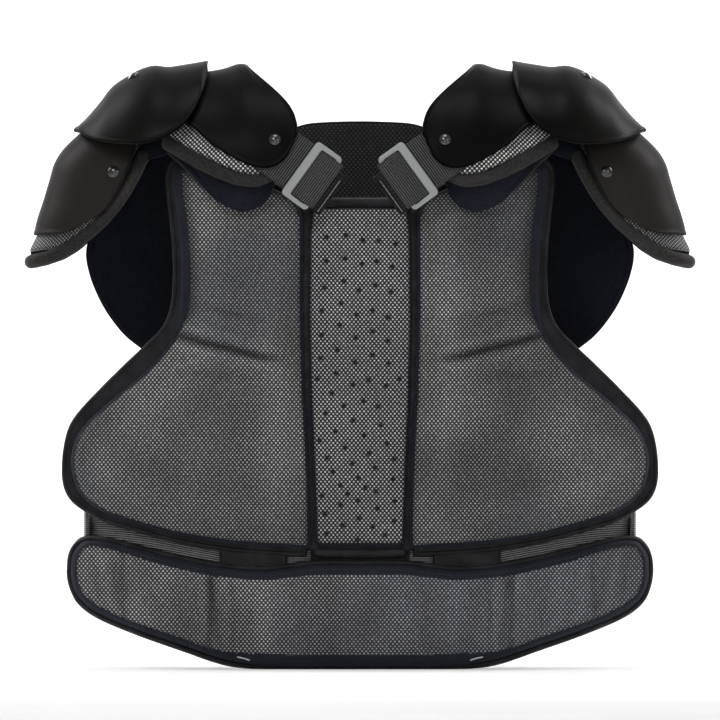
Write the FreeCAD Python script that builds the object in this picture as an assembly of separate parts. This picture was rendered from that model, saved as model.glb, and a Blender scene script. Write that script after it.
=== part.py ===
import FreeCAD, Part
import math
import os

# Ice hockey shoulder pads, senior size, as worn: +Z up, the chest faces -Y, the wearer's left is +X.
# Origin: middle of the footprint, at the lowest edge of the abdomen pad. All sizes in millimetres.
# Paired pieces are built on the left (+X) and mirrored.

# ---------------------------------------------------------------- driving dimensions
BODY_HALF_WIDTH = 285.0    # x at which the front and back halves have swept round in full
BODY_HALF_DEPTH = 80.0     # middle line of either half, before its bulge
FRONT_BULGE = 20.0
FRONT_SWEEP = 62.0
BACK_BULGE = 9.0
BACK_SWEEP = 60.0

BACKING_T = 4.0            # nylon backed foam board behind the chest panels
LAYER_GAP = 0.5
CHEST_T = 14.0             # foam with its mesh cover
STERNUM_T = 10.0
BELLY_T = 13.0
BELLY_SINK = 1.0           # abdomen pad lies this much deeper than the chest panels
COVER_T = 1.4              # mesh cover cloth
COVER_GAP = 0.3            # between cover and foam
BELLY_RIM_T = 3.0

LINER_T = 3.0              # brushed lining of the back
BACK_FOAM_T = 4.0
BACK_FOAM_BASE = LINER_T + 0.4
BACK_FOAM_INSET = 7.0
BACK_BINDING_W = 6.4
BACK_PAD_DEPTHS = (8.0, 17.4)
SPINE_BASE = 18.0

PLATE_T = 2.8              # moulded polyethylene plates
PAD_T = 11.0               # shoulder and arm pads, facing included
FACING_T = 1.2             # mesh facing of those pads
FACING_GAP = 0.6
PIPING_R = 5.6             # rolled edge binding of those pads
FLAP_T = 4.0               # soft flap under the collarbone pad
WEBBING_T = 1.6
STRAP_W = 50.0             # shoulder webbing
YOKE_W = 34.0              # rear yoke strap
TETHER_T = 1.6
TETHER_W = 44.0

ELASTIC_W = 34.0           # waist elastic
ELASTIC_T = 1.8
ELASTIC_FRONT_Z = 107.0    # its centre line at the front
ELASTIC_REAR_Z = 130.5     # and at the rear

BUCKLE_L = 61.0            # outside length of the loop buckle
BUCKLE_W = 30.0
BUCKLE_T = 3.0
BUCKLE_CORNER_R = 4.2
SLOT_CORNER_R = 1.6
BUCKLE_EDGE_R = 0.9
BAR_OUT = 8.2              # buckle bar on the shoulder side
BAR_IN = 5.0               # buckle bar on the sternum side
BAR_SIDE = 4.8

RIVET_HEAD_R = 5.6
RIVET_HEAD_H = 2.6
RIVET_HEAD_LIFT = 0.25     # clearance under the head
RIVET_SHANK_R = 2.3
RIVET_HOLE_R = 2.5
RIVET_WASHER_R = RIVET_HEAD_R * 0.66
RIVET_WASHER_T = 1.1

Vector = FreeCAD.Vector
X_AXIS, Y_AXIS, Z_AXIS = Vector(1, 0, 0), Vector(0, 1, 0), Vector(0, 0, 1)


# ---------------------------------------------------------------- small maths
def smooth(ratio):
    ratio = max(0.0, min(1.0, ratio))
    return ratio * ratio * (3.0 - 2.0 * ratio)


def steps(start, end, count):
    """Evenly spaced values, both ends included."""
    return [start + (end - start) * i / (count - 1) for i in range(count)]


def catmull(values, index):
    """Smooth value of a list at a fractional index."""
    count = len(values)
    i = max(0, min(count - 2, int(math.floor(index))))
    part = index - i
    here, after = values[i], values[i + 1]
    before = values[i - 1] if i > 0 else 2 * here - after
    beyond = values[i + 2] if i + 2 < count else 2 * after - here
    return 0.5 * (
        2 * here
        + (after - before) * part
        + (2 * before - 5 * here + 4 * after - beyond) * part * part
        + (3 * here - before - 3 * after + beyond) * part ** 3
    )


def front_y(x, z):
    """Body side of the front half's backing board."""
    bulge = smooth((440.0 - z) / 190.0) * (1.0 - 0.35 * smooth((230.0 - z) / 230.0))
    sweep = FRONT_SWEEP * (x / BODY_HALF_WIDTH) ** 2
    return -(BODY_HALF_DEPTH + FRONT_BULGE * bulge) + sweep


def back_y(x, z):
    """Body side of the back half's lining."""
    bulge = smooth((450.0 - z) / 170.0) * (1.0 - 0.6 * smooth((240.0 - z) / 170.0))
    return BODY_HALF_DEPTH + BACK_BULGE * bulge - BACK_SWEEP * (x / BODY_HALF_WIDTH) ** 2


def front_point(x, z, depth):
    return Vector(x, front_y(x, z) - depth, z)


def back_point(x, z, depth):
    return Vector(x, back_y(x, z) + depth, z)


# ---------------------------------------------------------------- keeping and writing pieces
def unwrap(shape):
    """The solid itself where a shape holds just one."""
    return shape.Solids[0] if len(shape.Solids) == 1 else shape


def mirror(shape):
    return shape.mirror(Vector(0, 0, 0), X_AXIS)


def save(name, shape):
    unwrap(shape).exportStep(f"parts/{name}.step")


def save_pair(name, shape):
    save(name + "_left", shape)
    save(name + "_right", mirror(unwrap(shape)))


# ---------------------------------------------------------------- solids between two surfaces
def grid_solid(outer, inner):
    """Closed solid between surfaces interpolated through two point grids of the same shape."""
    surfaces = []
    for grid in (outer, inner):
        surface = Part.BSplineSurface()
        surface.interpolate(grid)
        surfaces.append(surface)
    faces = [surface.toShape() for surface in surfaces]
    rims = []
    for surface in surfaces:
        u0, u1, v0, v1 = surface.bounds()
        rims.append([surface.uIso(u0), surface.uIso(u1), surface.vIso(v0), surface.vIso(v1)])
    for outer_rim, inner_rim in zip(*rims):
        faces.append(Part.makeRuledSurface(outer_rim.toShape(), inner_rim.toShape()))
    shell = Part.makeShell(faces)
    shell.sewShape()
    solid = Part.Solid(shell)
    if solid.Volume < 0:
        solid.reverse()
    return solid


def depth_solid(point_at, rows, columns, outer, inner):
    """Solid between point_at(row, column, outer) and point_at(row, column, inner)."""
    return grid_solid(*[
        [[point_at(row, column, depth) for column in columns] for row in rows]
        for depth in (outer, inner)
    ])


# ---------------------------------------------------------------- outlines in the XZ plane
# An outline is a closed list of segments, each a list of (x, z) points:
# two points make a line, more make a spline.
def segment_points(segment, spans=24):
    points = [Vector(x, 0, z) for x, z in segment]
    if len(points) == 2:
        return points
    curve = Part.BSplineCurve()
    curve.interpolate(points)
    first, last = curve.FirstParameter, curve.LastParameter
    return [curve.value(first + (last - first) * k / spans) for k in range(spans + 1)]


def inset_outline(outline, inset):
    """Sampled segments, moved towards the inside by inset with mitred corners."""
    raw = [segment_points(segment) for segment in outline]
    if inset == 0.0:
        return raw
    loop = [point for points in raw for point in points[:-1]]
    following = loop[1:] + loop[:1]
    area = sum(a.x * b.z - b.x * a.z for a, b in zip(loop, following))
    sign = 1.0 if area > 0 else -1.0

    def inward(start, end):
        along = end - start
        along.normalize()
        return Vector(-along.z * sign, 0, along.x * sign)

    result = []
    for k, points in enumerate(raw):
        before, after = raw[k - 1], raw[(k + 1) % len(raw)]
        moved = []
        for i, point in enumerate(points):
            arriving = inward(points[i - 1], point) if i > 0 else inward(before[-2], before[-1])
            if i < len(points) - 1:
                leaving = inward(point, points[i + 1])
            else:
                leaving = inward(after[0], after[1])
            mitre = arriving + leaving
            mitre.multiply(inset / (1.0 + arriving.dot(leaving)))
            moved.append(point + mitre)
        result.append(moved)
    return result


def prism(outline, y0, y1, inset):
    edges = []
    for points in inset_outline(outline, inset):
        moved = [Vector(point.x, y0, point.z) for point in points]
        if len(moved) == 2:
            edges.append(Part.makeLine(moved[0], moved[1]))
        else:
            curve = Part.BSplineCurve()
            curve.interpolate(moved[::3])
            edges.append(curve.toShape())
    return Part.Face(Part.Wire(edges)).extrude(Vector(0, y1 - y0, 0))


def half_to_full(outline):
    """Close a half outline, drawn from x = 0 round to x = 0, with its mirror image."""
    return outline + [[(-x, z) for x, z in reversed(segment)] for segment in reversed(outline)]


def polygon(points):
    return [[start, end] for start, end in zip(points, points[1:] + points[:1])]


def layer(point_at, y_range, outline, box, depths, inset):
    """Curved slab over the (x0, x1, z0, z1) box, trimmed to the outline."""
    x0, x1, z0, z1 = box
    inner, outer = depths
    slab = depth_solid(point_at, steps(x0, x1, 9), steps(z0, z1, 17), outer, inner)
    return unwrap(slab.common(prism(outline, *y_range, inset)))


def front_layer(outline, box, inner, outer, inset=0.0):
    return layer(front_point, (-200, 60), outline, box, (inner, outer), inset)


def back_layer(outline, inner, outer, inset=0.0, box=(-275, 275, 60, 530)):
    return layer(back_point, (-40, 180), outline, box, (inner, outer), inset)


# ---------------------------------------------------------------- strips and bars
def extrude_profile(profile, origin, axes, width, lift=0.0):
    """Extrude (first axis, second axis) points along the third axis, centred, then lifted."""
    first, second, across = axes
    start = origin - across * (width / 2.0) + across * lift
    points = [start + first * a + second * b for a, b in profile]
    return Part.Face(Part.makePolygon(points + [points[0]])).extrude(across * width)


def strip_profile(path, thick):
    """Closed profile of a strip of constant thickness on a polyline."""
    normals = []
    for (a0, b0), (a1, b1) in zip(path, path[1:]):
        length = math.hypot(a1 - a0, b1 - b0)
        normals.append((-(b1 - b0) / length, (a1 - a0) / length))
    upper, lower = [], []
    for i, (a, b) in enumerate(path):
        near = normals[max(0, i - 1):i + 1]
        scale = 1.0
        if len(near) == 2:
            scale += near[0][0] * near[1][0] + near[0][1] * near[1][1]
        shift_a = sum(normal[0] for normal in near) / scale * thick / 2
        shift_b = sum(normal[1] for normal in near) / scale * thick / 2
        upper.append((a + shift_a, b + shift_b))
        lower.append((a - shift_a, b - shift_b))
    return upper + lower[::-1]


def resample(points, count):
    reached = [0.0]
    for start, end in zip(points, points[1:]):
        reached.append(reached[-1] + (end - start).Length)
    result, i = [], 0
    for k in range(count):
        distance = reached[-1] * k / (count - 1)
        while i < len(reached) - 2 and reached[i + 1] < distance:
            i += 1
        part = (distance - reached[i]) / max(1e-9, reached[i + 1] - reached[i])
        result.append(points[i] + (points[i + 1] - points[i]) * part)
    return result


def ease(points, count, rounds):
    """Even spacing and rounded corners for a path."""
    path = resample(points, count * 3)
    for _ in range(rounds):
        middle = [(a + b * 2 + c) * 0.25 for a, b, c in zip(path, path[1:], path[2:])]
        path = [path[0]] + middle + [path[-1]]
    return resample(path, count)


def tube(points, radius):
    """Round bar along an open path, with flat ends."""
    curve = Part.BSplineCurve()
    curve.interpolate(points)
    start = curve.FirstParameter
    circle = Part.makeCircle(radius, curve.value(start), curve.tangent(start)[0])
    return Part.Wire([curve.toShape()]).makePipeShell([Part.Wire([circle])], True, True)


def elastic_band(path, centre_z):
    """Elastic on edge along (x, y) points, thickened to the left of the path's direction."""
    points = ease(resample([Vector(x, y, 0) for x, y in path], 240), 26, 6)
    stations = []
    for i, point in enumerate(points):
        along = points[min(len(points) - 1, i + 1)] - points[max(0, i - 1)]
        along.normalize()
        stations.append((point, Vector(-along.y, along.x, 0)))

    def point_at(station, rise, depth):
        point, normal = station
        return point + normal * depth + Z_AXIS * (centre_z(point.x) + rise)

    return depth_solid(point_at, stations, steps(-ELASTIC_W / 2, ELASTIC_W / 2, 5), 0.0, ELASTIC_T)


# ---------------------------------------------------------------- arched patches
class Arch:
    """Outer face of a shell that runs from the front, over the top, to the back.

    Each row: top point x, z at y = 0; border point x, z; border y; swing angle in degrees;
    then, where given, the bow in x and z. Swing is 1 at the front border, 0 at the top and
    -1 at the back border. The core is an (x, z) inside the arch, to tell in from out."""

    def __init__(self, core, rows):
        self.core = core
        self.last = len(rows) - 1.0
        self.columns = list(zip(*[row + (0.0,) * (8 - len(row)) for row in rows]))

    def face(self, row, swing):
        top_x, top_z, end_x, end_z, end_y, degrees, bow_x, bow_z = [
            catmull(column, row) for column in self.columns
        ]
        full = math.radians(degrees)
        angle = abs(swing) * full
        drop = (1 - math.cos(angle)) / (1 - math.cos(full))
        y = end_y * math.sin(angle) / math.sin(full)
        bow = math.sin(math.pi * min(1.0, drop) ** 1.25)
        return Vector(
            top_x + (end_x - top_x) * drop + bow_x * bow,
            -y if swing > 0 else y,
            top_z + (end_z - top_z) * drop + bow_z * bow,
        )

    def at(self, row, swing, depth):
        """Point at a depth under the outer face."""
        step = 0.02
        row0, row1 = max(0.0, row - step), min(self.last, row + step)
        swing0, swing1 = swing - step, swing + step
        across = self.face(row1, swing) - self.face(row0, swing)
        if swing0 < 0 < swing1:
            swing0, swing1 = -step, step
        normal = across.cross(self.face(row, swing1) - self.face(row, swing0))
        normal.normalize()
        point = self.face(row, swing)
        outward = Vector(point.x - self.core[0], point.y, point.z - self.core[1])
        if normal.dot(outward) < 0:
            normal.multiply(-1)
        return point - normal * depth

    def find(self, x, z, front=True):
        """Row and swing of the outer face point seen at (x, z)."""
        best = None
        row0, row1, swing0, swing1 = 0.0, self.last, 0.05, 1.0
        for _ in range(6):
            for row in steps(row0, row1, 13):
                for swing in steps(swing0, swing1, 13):
                    point = self.face(row, swing)
                    error = (point.x - x) ** 2 + (point.z - z) ** 2
                    if best is None or error < best[0]:
                        best = (error, row, swing)
            _, row, swing = best
            row_reach, swing_reach = (row1 - row0) / 5, (swing1 - swing0) / 5
            row0, row1 = max(0.0, row - row_reach), min(self.last, row + row_reach)
            swing0, swing1 = max(0.02, swing - swing_reach), min(1.0, swing + swing_reach)
        return row, swing if front else -swing

    def site(self, x, z, front=True):
        """Point and outward normal of the outer face seen at (x, z)."""
        row, swing = self.find(x, z, front)
        point = self.at(row, swing, 0.0)
        return point, point - self.at(row, swing, 1.0)

    def shell(self, thick, row_count=13, swing_count=17):
        rows, swings = steps(0.0, self.last, row_count), steps(-1.0, 1.0, swing_count)
        return depth_solid(self.at, rows, swings, 0.0, thick)

    def border(self, depth, first_row=0.15, corner=0.12):
        """Path down the front edge, along the last row and up the back edge."""
        turn_row = (1 - corner) * self.last
        turn_swing = 1.0 - corner * 1.2
        points = [self.at(row, 1.0, depth) for row in steps(first_row, turn_row, 30)]
        points += [
            self.at(self.last, swing, depth) for swing in steps(turn_swing, -turn_swing, 30)
        ]
        points += [self.at(row, -1.0, depth) for row in steps(turn_row, first_row, 30)]
        return ease(points, 28, 12)

    def rounded_pad(self, trim, outer, inner):
        """Patch with eased lower corners, ending just inside the rolled edge.

        The trim is the end swing, the end row, and the rows taken off at the corners
        and at the middle of the last edge."""
        end_swing, end_row, corner_rows, neck_rows = trim

        def point_at(fraction, swing, depth):
            corner = max(0.0, (abs(swing) - 0.62) / (end_swing - 0.62))
            neck = max(0.0, 1.0 - (swing / 0.7) ** 2)
            row_limit = end_row - corner_rows * corner * corner - neck_rows * neck
            return self.at(row_limit * fraction, swing, depth)

        swings = [end_swing * ratio for ratio in steps(-1.0, 1.0, 19)]
        return depth_solid(point_at, steps(0.0, 1.0, 13), swings, outer, inner)


# ---------------------------------------------------------------- rivets
def rivet(centre, normal, grip):
    """Domed head outside, plain shank, thin washer inside; centre on the plate's outer face."""
    dome_r = (RIVET_HEAD_R ** 2 + RIVET_HEAD_H ** 2) / (2 * RIVET_HEAD_H)
    dome_centre = centre + normal * (RIVET_HEAD_LIFT + RIVET_HEAD_H - dome_r)
    head = Part.makeSphere(dome_r, dome_centre).common(Part.makeCylinder(
        RIVET_HEAD_R, RIVET_HEAD_H + 1.0, centre + normal * RIVET_HEAD_LIFT, normal))
    shank = Part.makeCylinder(RIVET_SHANK_R, grip + 1.4, centre - normal * (grip + 0.9), normal)
    washer = Part.makeCylinder(
        RIVET_WASHER_R, RIVET_WASHER_T, centre - normal * (grip + 1.4), normal)
    return unwrap(head.fuse([shank, washer]).removeSplitter())


def rivet_hole(centre, normal, depth=40.0):
    return Part.makeCylinder(RIVET_HOLE_R, depth + 12.0, centre - normal * depth, normal)


def drilled(shape, holes):
    for hole in holes:
        shape = shape.cut(hole)
    return shape


def build_capped_pad(name, plate_arch, pad_arch, trim, rivet_place, grip):
    """Plate over a faced pad with a rolled edge, riveted front and back; returns the holes."""
    sites = [plate_arch.site(*rivet_place, front) for front in (True, False)]
    holes = [rivet_hole(*site) for site in sites]
    pad = pad_arch.rounded_pad(trim, FACING_T + FACING_GAP, PAD_T)
    facing = pad_arch.rounded_pad(trim, 0.0, FACING_T)
    save_pair(name + "_plate", drilled(plate_arch.shell(PLATE_T), holes))
    save_pair(name + "_pad", drilled(pad, holes))
    save_pair(name + "_facing", drilled(facing, holes))
    save_pair(name + "_rivets", Part.makeCompound([rivet(*site, grip) for site in sites]))
    save_pair(name + "_binding", tube(pad_arch.border(PAD_T / 2), PIPING_R))
    return holes


# ================================================================ front half
# Outlines as (x, z) points; the sternum and belly ones are left halves.
CHEST = [
    [(54.0, 428.0), (62.0, 444.0), (80.0, 455.0), (100.0, 463.0), (125.0, 470.0),
     (150.0, 477.0), (171.5, 482.0)],
    [(171.5, 482.0), (177.2, 475.0), (178.0, 461.0), (174.8, 435.1), (171.2, 401.9),
     (170.2, 368.6), (172.0, 339.2), (177.0, 316.0), (188.8, 298.0), (211.9, 275.5),
     (239.4, 252.6), (263.0, 229.9), (272.8, 211.8), (275.3, 191.9), (270.0, 171.0),
     (257.5, 155.8), (239.4, 144.9), (204.3, 134.3), (170.1, 125.8), (123.5, 118.6),
     (77.9, 115.0), (47.0, 113.2)],
    [(47.0, 113.2), (48.6, 191.9), (52.0, 256.5), (54.0, 334.4), (54.0, 428.0)],
]
CHEST_BOARD = [
    [(51.0, 428.0), (60.0, 447.0), (79.0, 459.0), (100.0, 467.0), (125.0, 474.0),
     (150.0, 481.0), (174.0, 486.0)],
    [(174.0, 486.0), (183.0, 477.0), (184.2, 461.0), (181.5, 435.1), (178.0, 401.9),
     (177.0, 368.6), (179.5, 342.0), (187.5, 323.0), (205.5, 304.8), (227.4, 284.0),
     (250.5, 261.1), (271.2, 238.0), (279.5, 219.6), (283.0, 196.7), (282.6, 175.8),
     (275.5, 159.6), (262.2, 149.4), (244.7, 139.0), (205.0, 127.5), (170.1, 118.8),
     (123.5, 111.2), (77.9, 107.8), (51.0, 106.4)],
    [(51.0, 106.4), (51.0, 428.0)],
]
STERNUM = [
    [(0.0, 438.5), (40.0, 438.5), (46.5, 432.0)],
    [(46.5, 432.0), (48.6, 411.0), (49.4, 334.4), (47.6, 256.5), (44.6, 191.9), (42.6, 116.5)],
    [(42.6, 116.5), (0.0, 116.5)],
]
STERNUM_BOARD = [
    [(0.0, 446.0), (38.0, 446.0), (45.5, 438.0)],
    [(45.5, 438.0), (45.5, 104.8)],
    [(45.5, 104.8), (0.0, 103.0)],
]
BELLY = [
    [(0.0, 98.0), (40.0, 98.0), (70.4, 94.5), (94.0, 92.5), (132.0, 95.5), (176.0, 104.0),
     (222.0, 115.0), (247.0, 120.5), (262.5, 120.2)],
    [(262.5, 120.2), (270.5, 113.4), (274.6, 104.5), (275.9, 91.5), (274.0, 78.9),
     (267.0, 64.6), (248.6, 50.6), (212.3, 35.2), (170.5, 21.0), (135.9, 8.8),
     (112.4, 3.4), (85.5, 0.7), (48.7, 0.0), (0.0, 0.0)],
]
BELLY_RIM = [
    [(0.0, 101.6), (40.0, 101.6), (70.4, 98.2), (94.0, 96.2), (132.0, 99.0), (176.0, 107.5),
     (222.0, 118.5), (247.0, 123.8), (264.5, 123.2)],
    [(264.5, 123.2), (273.6, 115.4), (278.0, 105.5), (279.2, 91.5), (277.0, 77.5),
     (269.2, 61.6), (250.0, 47.4), (212.8, 31.8), (170.5, 17.0), (135.9, 5.2),
     (112.4, 0.9), (85.5, 0.0), (48.7, 0.0), (0.0, 0.0)],
]
HANGER = [
    [(0.0, 101.3), (71.0, 101.3)],
    [(71.0, 101.3), (71.0, 66.0)],
    [(71.0, 66.0), (0.0, 66.0)],
]
BELLY_LOOP = [(99.0, 6.0), (124.0, 10.0), (120.0, 30.0), (97.0, 26.0)]


def build_covered_pad(name, outline, box, base, thick, save_piece):
    """Foam core inside a mesh cover that wraps its face and its sides."""
    body = front_layer(outline, box, base, base + thick)
    hollow = front_layer(outline, box, base - 3.0, base + thick - COVER_T, COVER_T)
    foam = front_layer(
        outline, box, base, base + thick - COVER_T - COVER_GAP, COVER_T + COVER_GAP)
    save_piece(name + "_cover", body.cut(hollow))
    save_piece(name + "_foam", foam)


def build_chest_and_sternum():
    base = BACKING_T + LAYER_GAP
    build_covered_pad("chest", CHEST, (38, 292, 100, 512), base, CHEST_T, save_pair)
    save_pair("chest_backing", front_layer(CHEST_BOARD, (44, 292, 98, 512), 0, BACKING_T))
    build_covered_pad(
        "sternum", half_to_full(STERNUM), (-56, 56, 108, 446), base, STERNUM_T, save)
    board = half_to_full(STERNUM_BOARD)
    save("sternum_backing", front_layer(board, (-56, 56, 96, 452), 0, BACKING_T))


def build_belly():
    base = BACKING_T + LAYER_GAP - BELLY_SINK
    build_covered_pad("belly", half_to_full(BELLY), (-284, 284, -8, 130), base, BELLY_T, save)
    # backing cloth and edge binding in one sewn rim
    rim = half_to_full(BELLY_RIM)
    save("belly_backing", front_layer(rim, (-290, 290, -8, 134), 0.0, BELLY_RIM_T))
    # short panel on the body side of the pad's top edge
    save("belly_hanger", front_layer(half_to_full(HANGER), (-80, 80, 60, 140), -3.0, -1.2))
    loops = []
    for side in (-1, 1):
        outline = polygon([(side * x, z) for x, z in BELLY_LOOP])
        loops.append(front_layer(outline, (-140, 140, -2, 40), -2.2, -0.5))
    save("belly_loops", Part.makeCompound(loops))


# ================================================================ waist elastics
FRONT_ELASTIC_X = (76.0, 100.0, 130.0, 160.0, 190.0, 215.0, 236.0)  # stations behind the board
FRONT_ELASTIC_GAP = 0.8
# (x, y) points round the side of the body
FRONT_ELASTIC_SIDE = [(246.0, -46.5), (252.5, -36.0), (256.5, -23.0), (258.0, -8.0)]
REAR_STRAP = [
    (156.0, 79.5), (164.0, 77.2), (176.0, 73.5), (190.0, 69.0), (212.0, 60.0), (234.0, 48.0),
    (249.0, 36.0), (257.0, 23.0), (261.0, 8.0), (261.8, -8.0), (261.3, -24.0), (259.8, -36.0),
]


def build_waist_elastics():
    """Front elastics from behind the chest board; rear straps overlap them on the outside."""
    path = []
    for x in FRONT_ELASTIC_X:
        z = 108.0 + 24.0 * (x - 72.0) / 171.0
        path.append((x, front_y(x, z) + FRONT_ELASTIC_GAP + ELASTIC_T))
    rise = ELASTIC_REAR_Z - ELASTIC_FRONT_Z
    save_pair("waist_elastic", elastic_band(
        path + FRONT_ELASTIC_SIDE, lambda x: ELASTIC_FRONT_Z + rise * smooth((x - 60.0) / 190.0)))
    save_pair("rear_strap", elastic_band(REAR_STRAP, lambda x: ELASTIC_REAR_Z))


# ================================================================ buckle
BUCKLE_CENTRE = Vector(45.7, -112.5, 467.3)
TO_STERNUM = Vector(-0.811, 0.0, -0.585)     # along the strap, down to the sternum
FORWARD = Vector(0.0, -1.0, 0.0)
ALONG_BUCKLE = Vector(-0.585, 0.0, 0.811)    # the buckle's length, across the strap
# (towards the sternum, forward) points from the buckle's centre
TAB_PATH = [(4.0, -5.6), (20.0, -5.8), (30.0, -9.0), (37.0, -12.6)]
FOLD_PATH = [(-6.6, -0.4), (-2.0, 1.2), (5.0, 3.0), (12.5, 3.6), (17.0, 1.6), (17.8, -1.4),
             (15.4, -3.1), (8.0, -3.3)]
TAB_W = 44.0
TAB_SHIFT = -4.0
FOLD_T = 1.2
FOLD_W = 49.0


def at_buckle(profile, width, lift=0.0):
    axes = (TO_STERNUM, FORWARD, ALONG_BUCKLE)
    return extrude_profile(profile, BUCKLE_CENTRE, axes, width, lift)


def buckle_block(a0, a1, half_thick, length, corner_r):
    """Block between two places along the strap, its through-thickness edges rounded."""
    profile = [(a0, -half_thick), (a1, -half_thick), (a1, half_thick), (a0, half_thick)]
    block = at_buckle(profile, length)
    corners = []
    for edge in block.Edges:
        along = (edge.Vertexes[1].Point - edge.Vertexes[0].Point).normalize()
        if abs(abs(along.dot(FORWARD)) - 1) < 1e-6:
            corners.append(edge)
    return block.makeFillet(corner_r, corners)


def buckle():
    half = BUCKLE_W / 2
    body = buckle_block(-half, half, BUCKLE_T / 2, BUCKLE_L, BUCKLE_CORNER_R)
    slot = buckle_block(
        -half + BAR_OUT, half - BAR_IN, 9, BUCKLE_L - 2 * BAR_SIDE, SLOT_CORNER_R)
    ring = unwrap(body.cut(slot))
    face_edges = [
        edge for edge in ring.Edges
        if all(abs(vertex.Point.y - BUCKLE_CENTRE.y) > 1.0 for vertex in edge.Vertexes)
        and edge.BoundBox.YLength < 0.01
    ]
    # The rounding of the face edges can fail; the ring then stays sharp.
    try:
        rounded = ring.makeFillet(BUCKLE_EDGE_R, face_edges)
        if rounded.isValid():
            ring = rounded
    except Exception:
        pass
    return ring


def build_buckles():
    save_pair("buckle_frame", buckle())
    save_pair("strap_fold", at_buckle(strip_profile(FOLD_PATH, FOLD_T), FOLD_W))
    # tabs that hold the buckles on the sternum panel
    tab = at_buckle(strip_profile(TAB_PATH, WEBBING_T), TAB_W, TAB_SHIFT)
    save("buckle_tabs", Part.makeCompound([tab, mirror(tab)]))


# ================================================================ shoulder arch
CLAVICLE = Arch((125.0, 440.0), [
    (186.0, 562.0, 180.0, 521.0, 98.0, 60.0),
    (160.0, 566.5, 160.0, 516.0, 104.0, 65.0),
    (140.0, 569.0, 142.0, 500.0, 113.0, 73.0),
    (128.0, 571.5, 122.0, 487.0, 119.5, 80.0),
    (118.0, 575.0, 103.0, 478.0, 124.0, 85.0, -1.0),
    (111.5, 575.5, 84.0, 477.0, 125.0, 86.0, -3.5),
    (109.0, 574.8, 70.3, 486.4, 123.5, 82.0, -7.5),
    (107.0, 573.2, 60.3, 508.0, 117.0, 70.0, -11.5),
])
CLAVICLE_PAD = Arch((125.0, 440.0), [
    (192.0, 553.0, 190.0, 507.0, 92.0, 65.0),
    (168.0, 557.5, 171.0, 492.0, 101.0, 74.0),
    (146.0, 560.0, 151.0, 480.5, 109.0, 82.0),
    (133.0, 562.0, 130.0, 469.0, 115.0, 90.0),
    (123.5, 564.5, 110.0, 461.5, 117.0, 95.0),
    (116.5, 566.0, 91.0, 461.0, 116.5, 95.0, -2.0),
    (110.5, 566.0, 75.0, 471.0, 114.5, 90.0, -5.0),
    (104.5, 564.5, 66.5, 497.0, 109.5, 78.0, -8.0),
])
FLAP = Arch((128.0, 440.0), [
    (183.0, 540.0, 185.0, 494.0, 78.0, 65.0),
    (169.0, 543.0, 169.0, 480.0, 87.0, 76.0),
    (153.0, 545.0, 152.5, 461.5, 94.0, 92.0),
    (141.0, 546.5, 135.0, 444.0, 97.5, 102.0),
    (132.0, 547.5, 115.0, 435.2, 99.5, 107.0),
    (125.5, 548.5, 100.0, 437.5, 100.0, 106.0),
    (119.5, 548.5, 88.0, 446.0, 99.5, 101.0),
    (114.0, 547.0, 81.0, 462.0, 97.5, 90.0, -3.0),
])
CLAVICLE_TRIM = (0.918, 6.55, 1.1, 0.75)
CLAVICLE_RIVET = (80.8, 502.0)    # x, z
CLAVICLE_GRIP = 22.5
# how far the strap stands forward of the buckle's centre, every 6 mm from 34 mm before it
STRAP_STAND = [3.0, 1.9, -0.4, -2.3, -2.6]
STRAP_ENDS = (-57.0, 6.0)         # along the strap, from the buckle's centre
YOKE_X = 92.0                     # inner edge
YOKE_ENDS = (441.0, 488.0)        # z
YOKE_BACK_GAP = 8.2               # yoke's inner face from the body side of the lining
YOKE_FLAP_GAP = 3.0


def strap_point(along, across, depth):
    """Under the plate the webbing follows the arch, then it runs flat to the buckle."""
    point = BUCKLE_CENTRE + TO_STERNUM * along + ALONG_BUCKLE * across
    y = BUCKLE_CENTRE.y - catmull(STRAP_STAND, max(0.0, min(4.0, (along + 34.0) / 6.0)))
    if along <= -12.0:
        under = CLAVICLE.at(*CLAVICLE.find(point.x, point.z), PLATE_T + 2.0).y
        y = under + (y - under) * smooth((along + 33.0) / 22.0)
    return Vector(point.x, y + depth, point.z)


def yoke_point(x, z, depth):
    """The yoke lies on the outside of the back and rises to lie inside the flap."""
    low = back_y(x, z) + YOKE_BACK_GAP + WEBBING_T
    high = FLAP.at(*FLAP.find(x, z, False), FLAP_T + YOKE_FLAP_GAP).y
    return Vector(x, low + (high - low) * smooth((z - 450.0) / 24.0) - depth, z)


def build_shoulder_arch():
    front_hole, _ = build_capped_pad(
        "clavicle", CLAVICLE, CLAVICLE_PAD, CLAVICLE_TRIM, CLAVICLE_RIVET, CLAVICLE_GRIP)
    save_pair("under_flap", FLAP.shell(FLAP_T))
    strap = depth_solid(
        strap_point, steps(*STRAP_ENDS, 15), steps(-STRAP_W / 2, STRAP_W / 2, 7), 0.0, WEBBING_T)
    yoke = depth_solid(
        yoke_point, steps(YOKE_X, YOKE_X + YOKE_W, 7), steps(*YOKE_ENDS, 13), 0.0, WEBBING_T)
    save_pair("shoulder_strap", Part.makeCompound([unwrap(strap.cut(front_hole)), yoke]))


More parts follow.
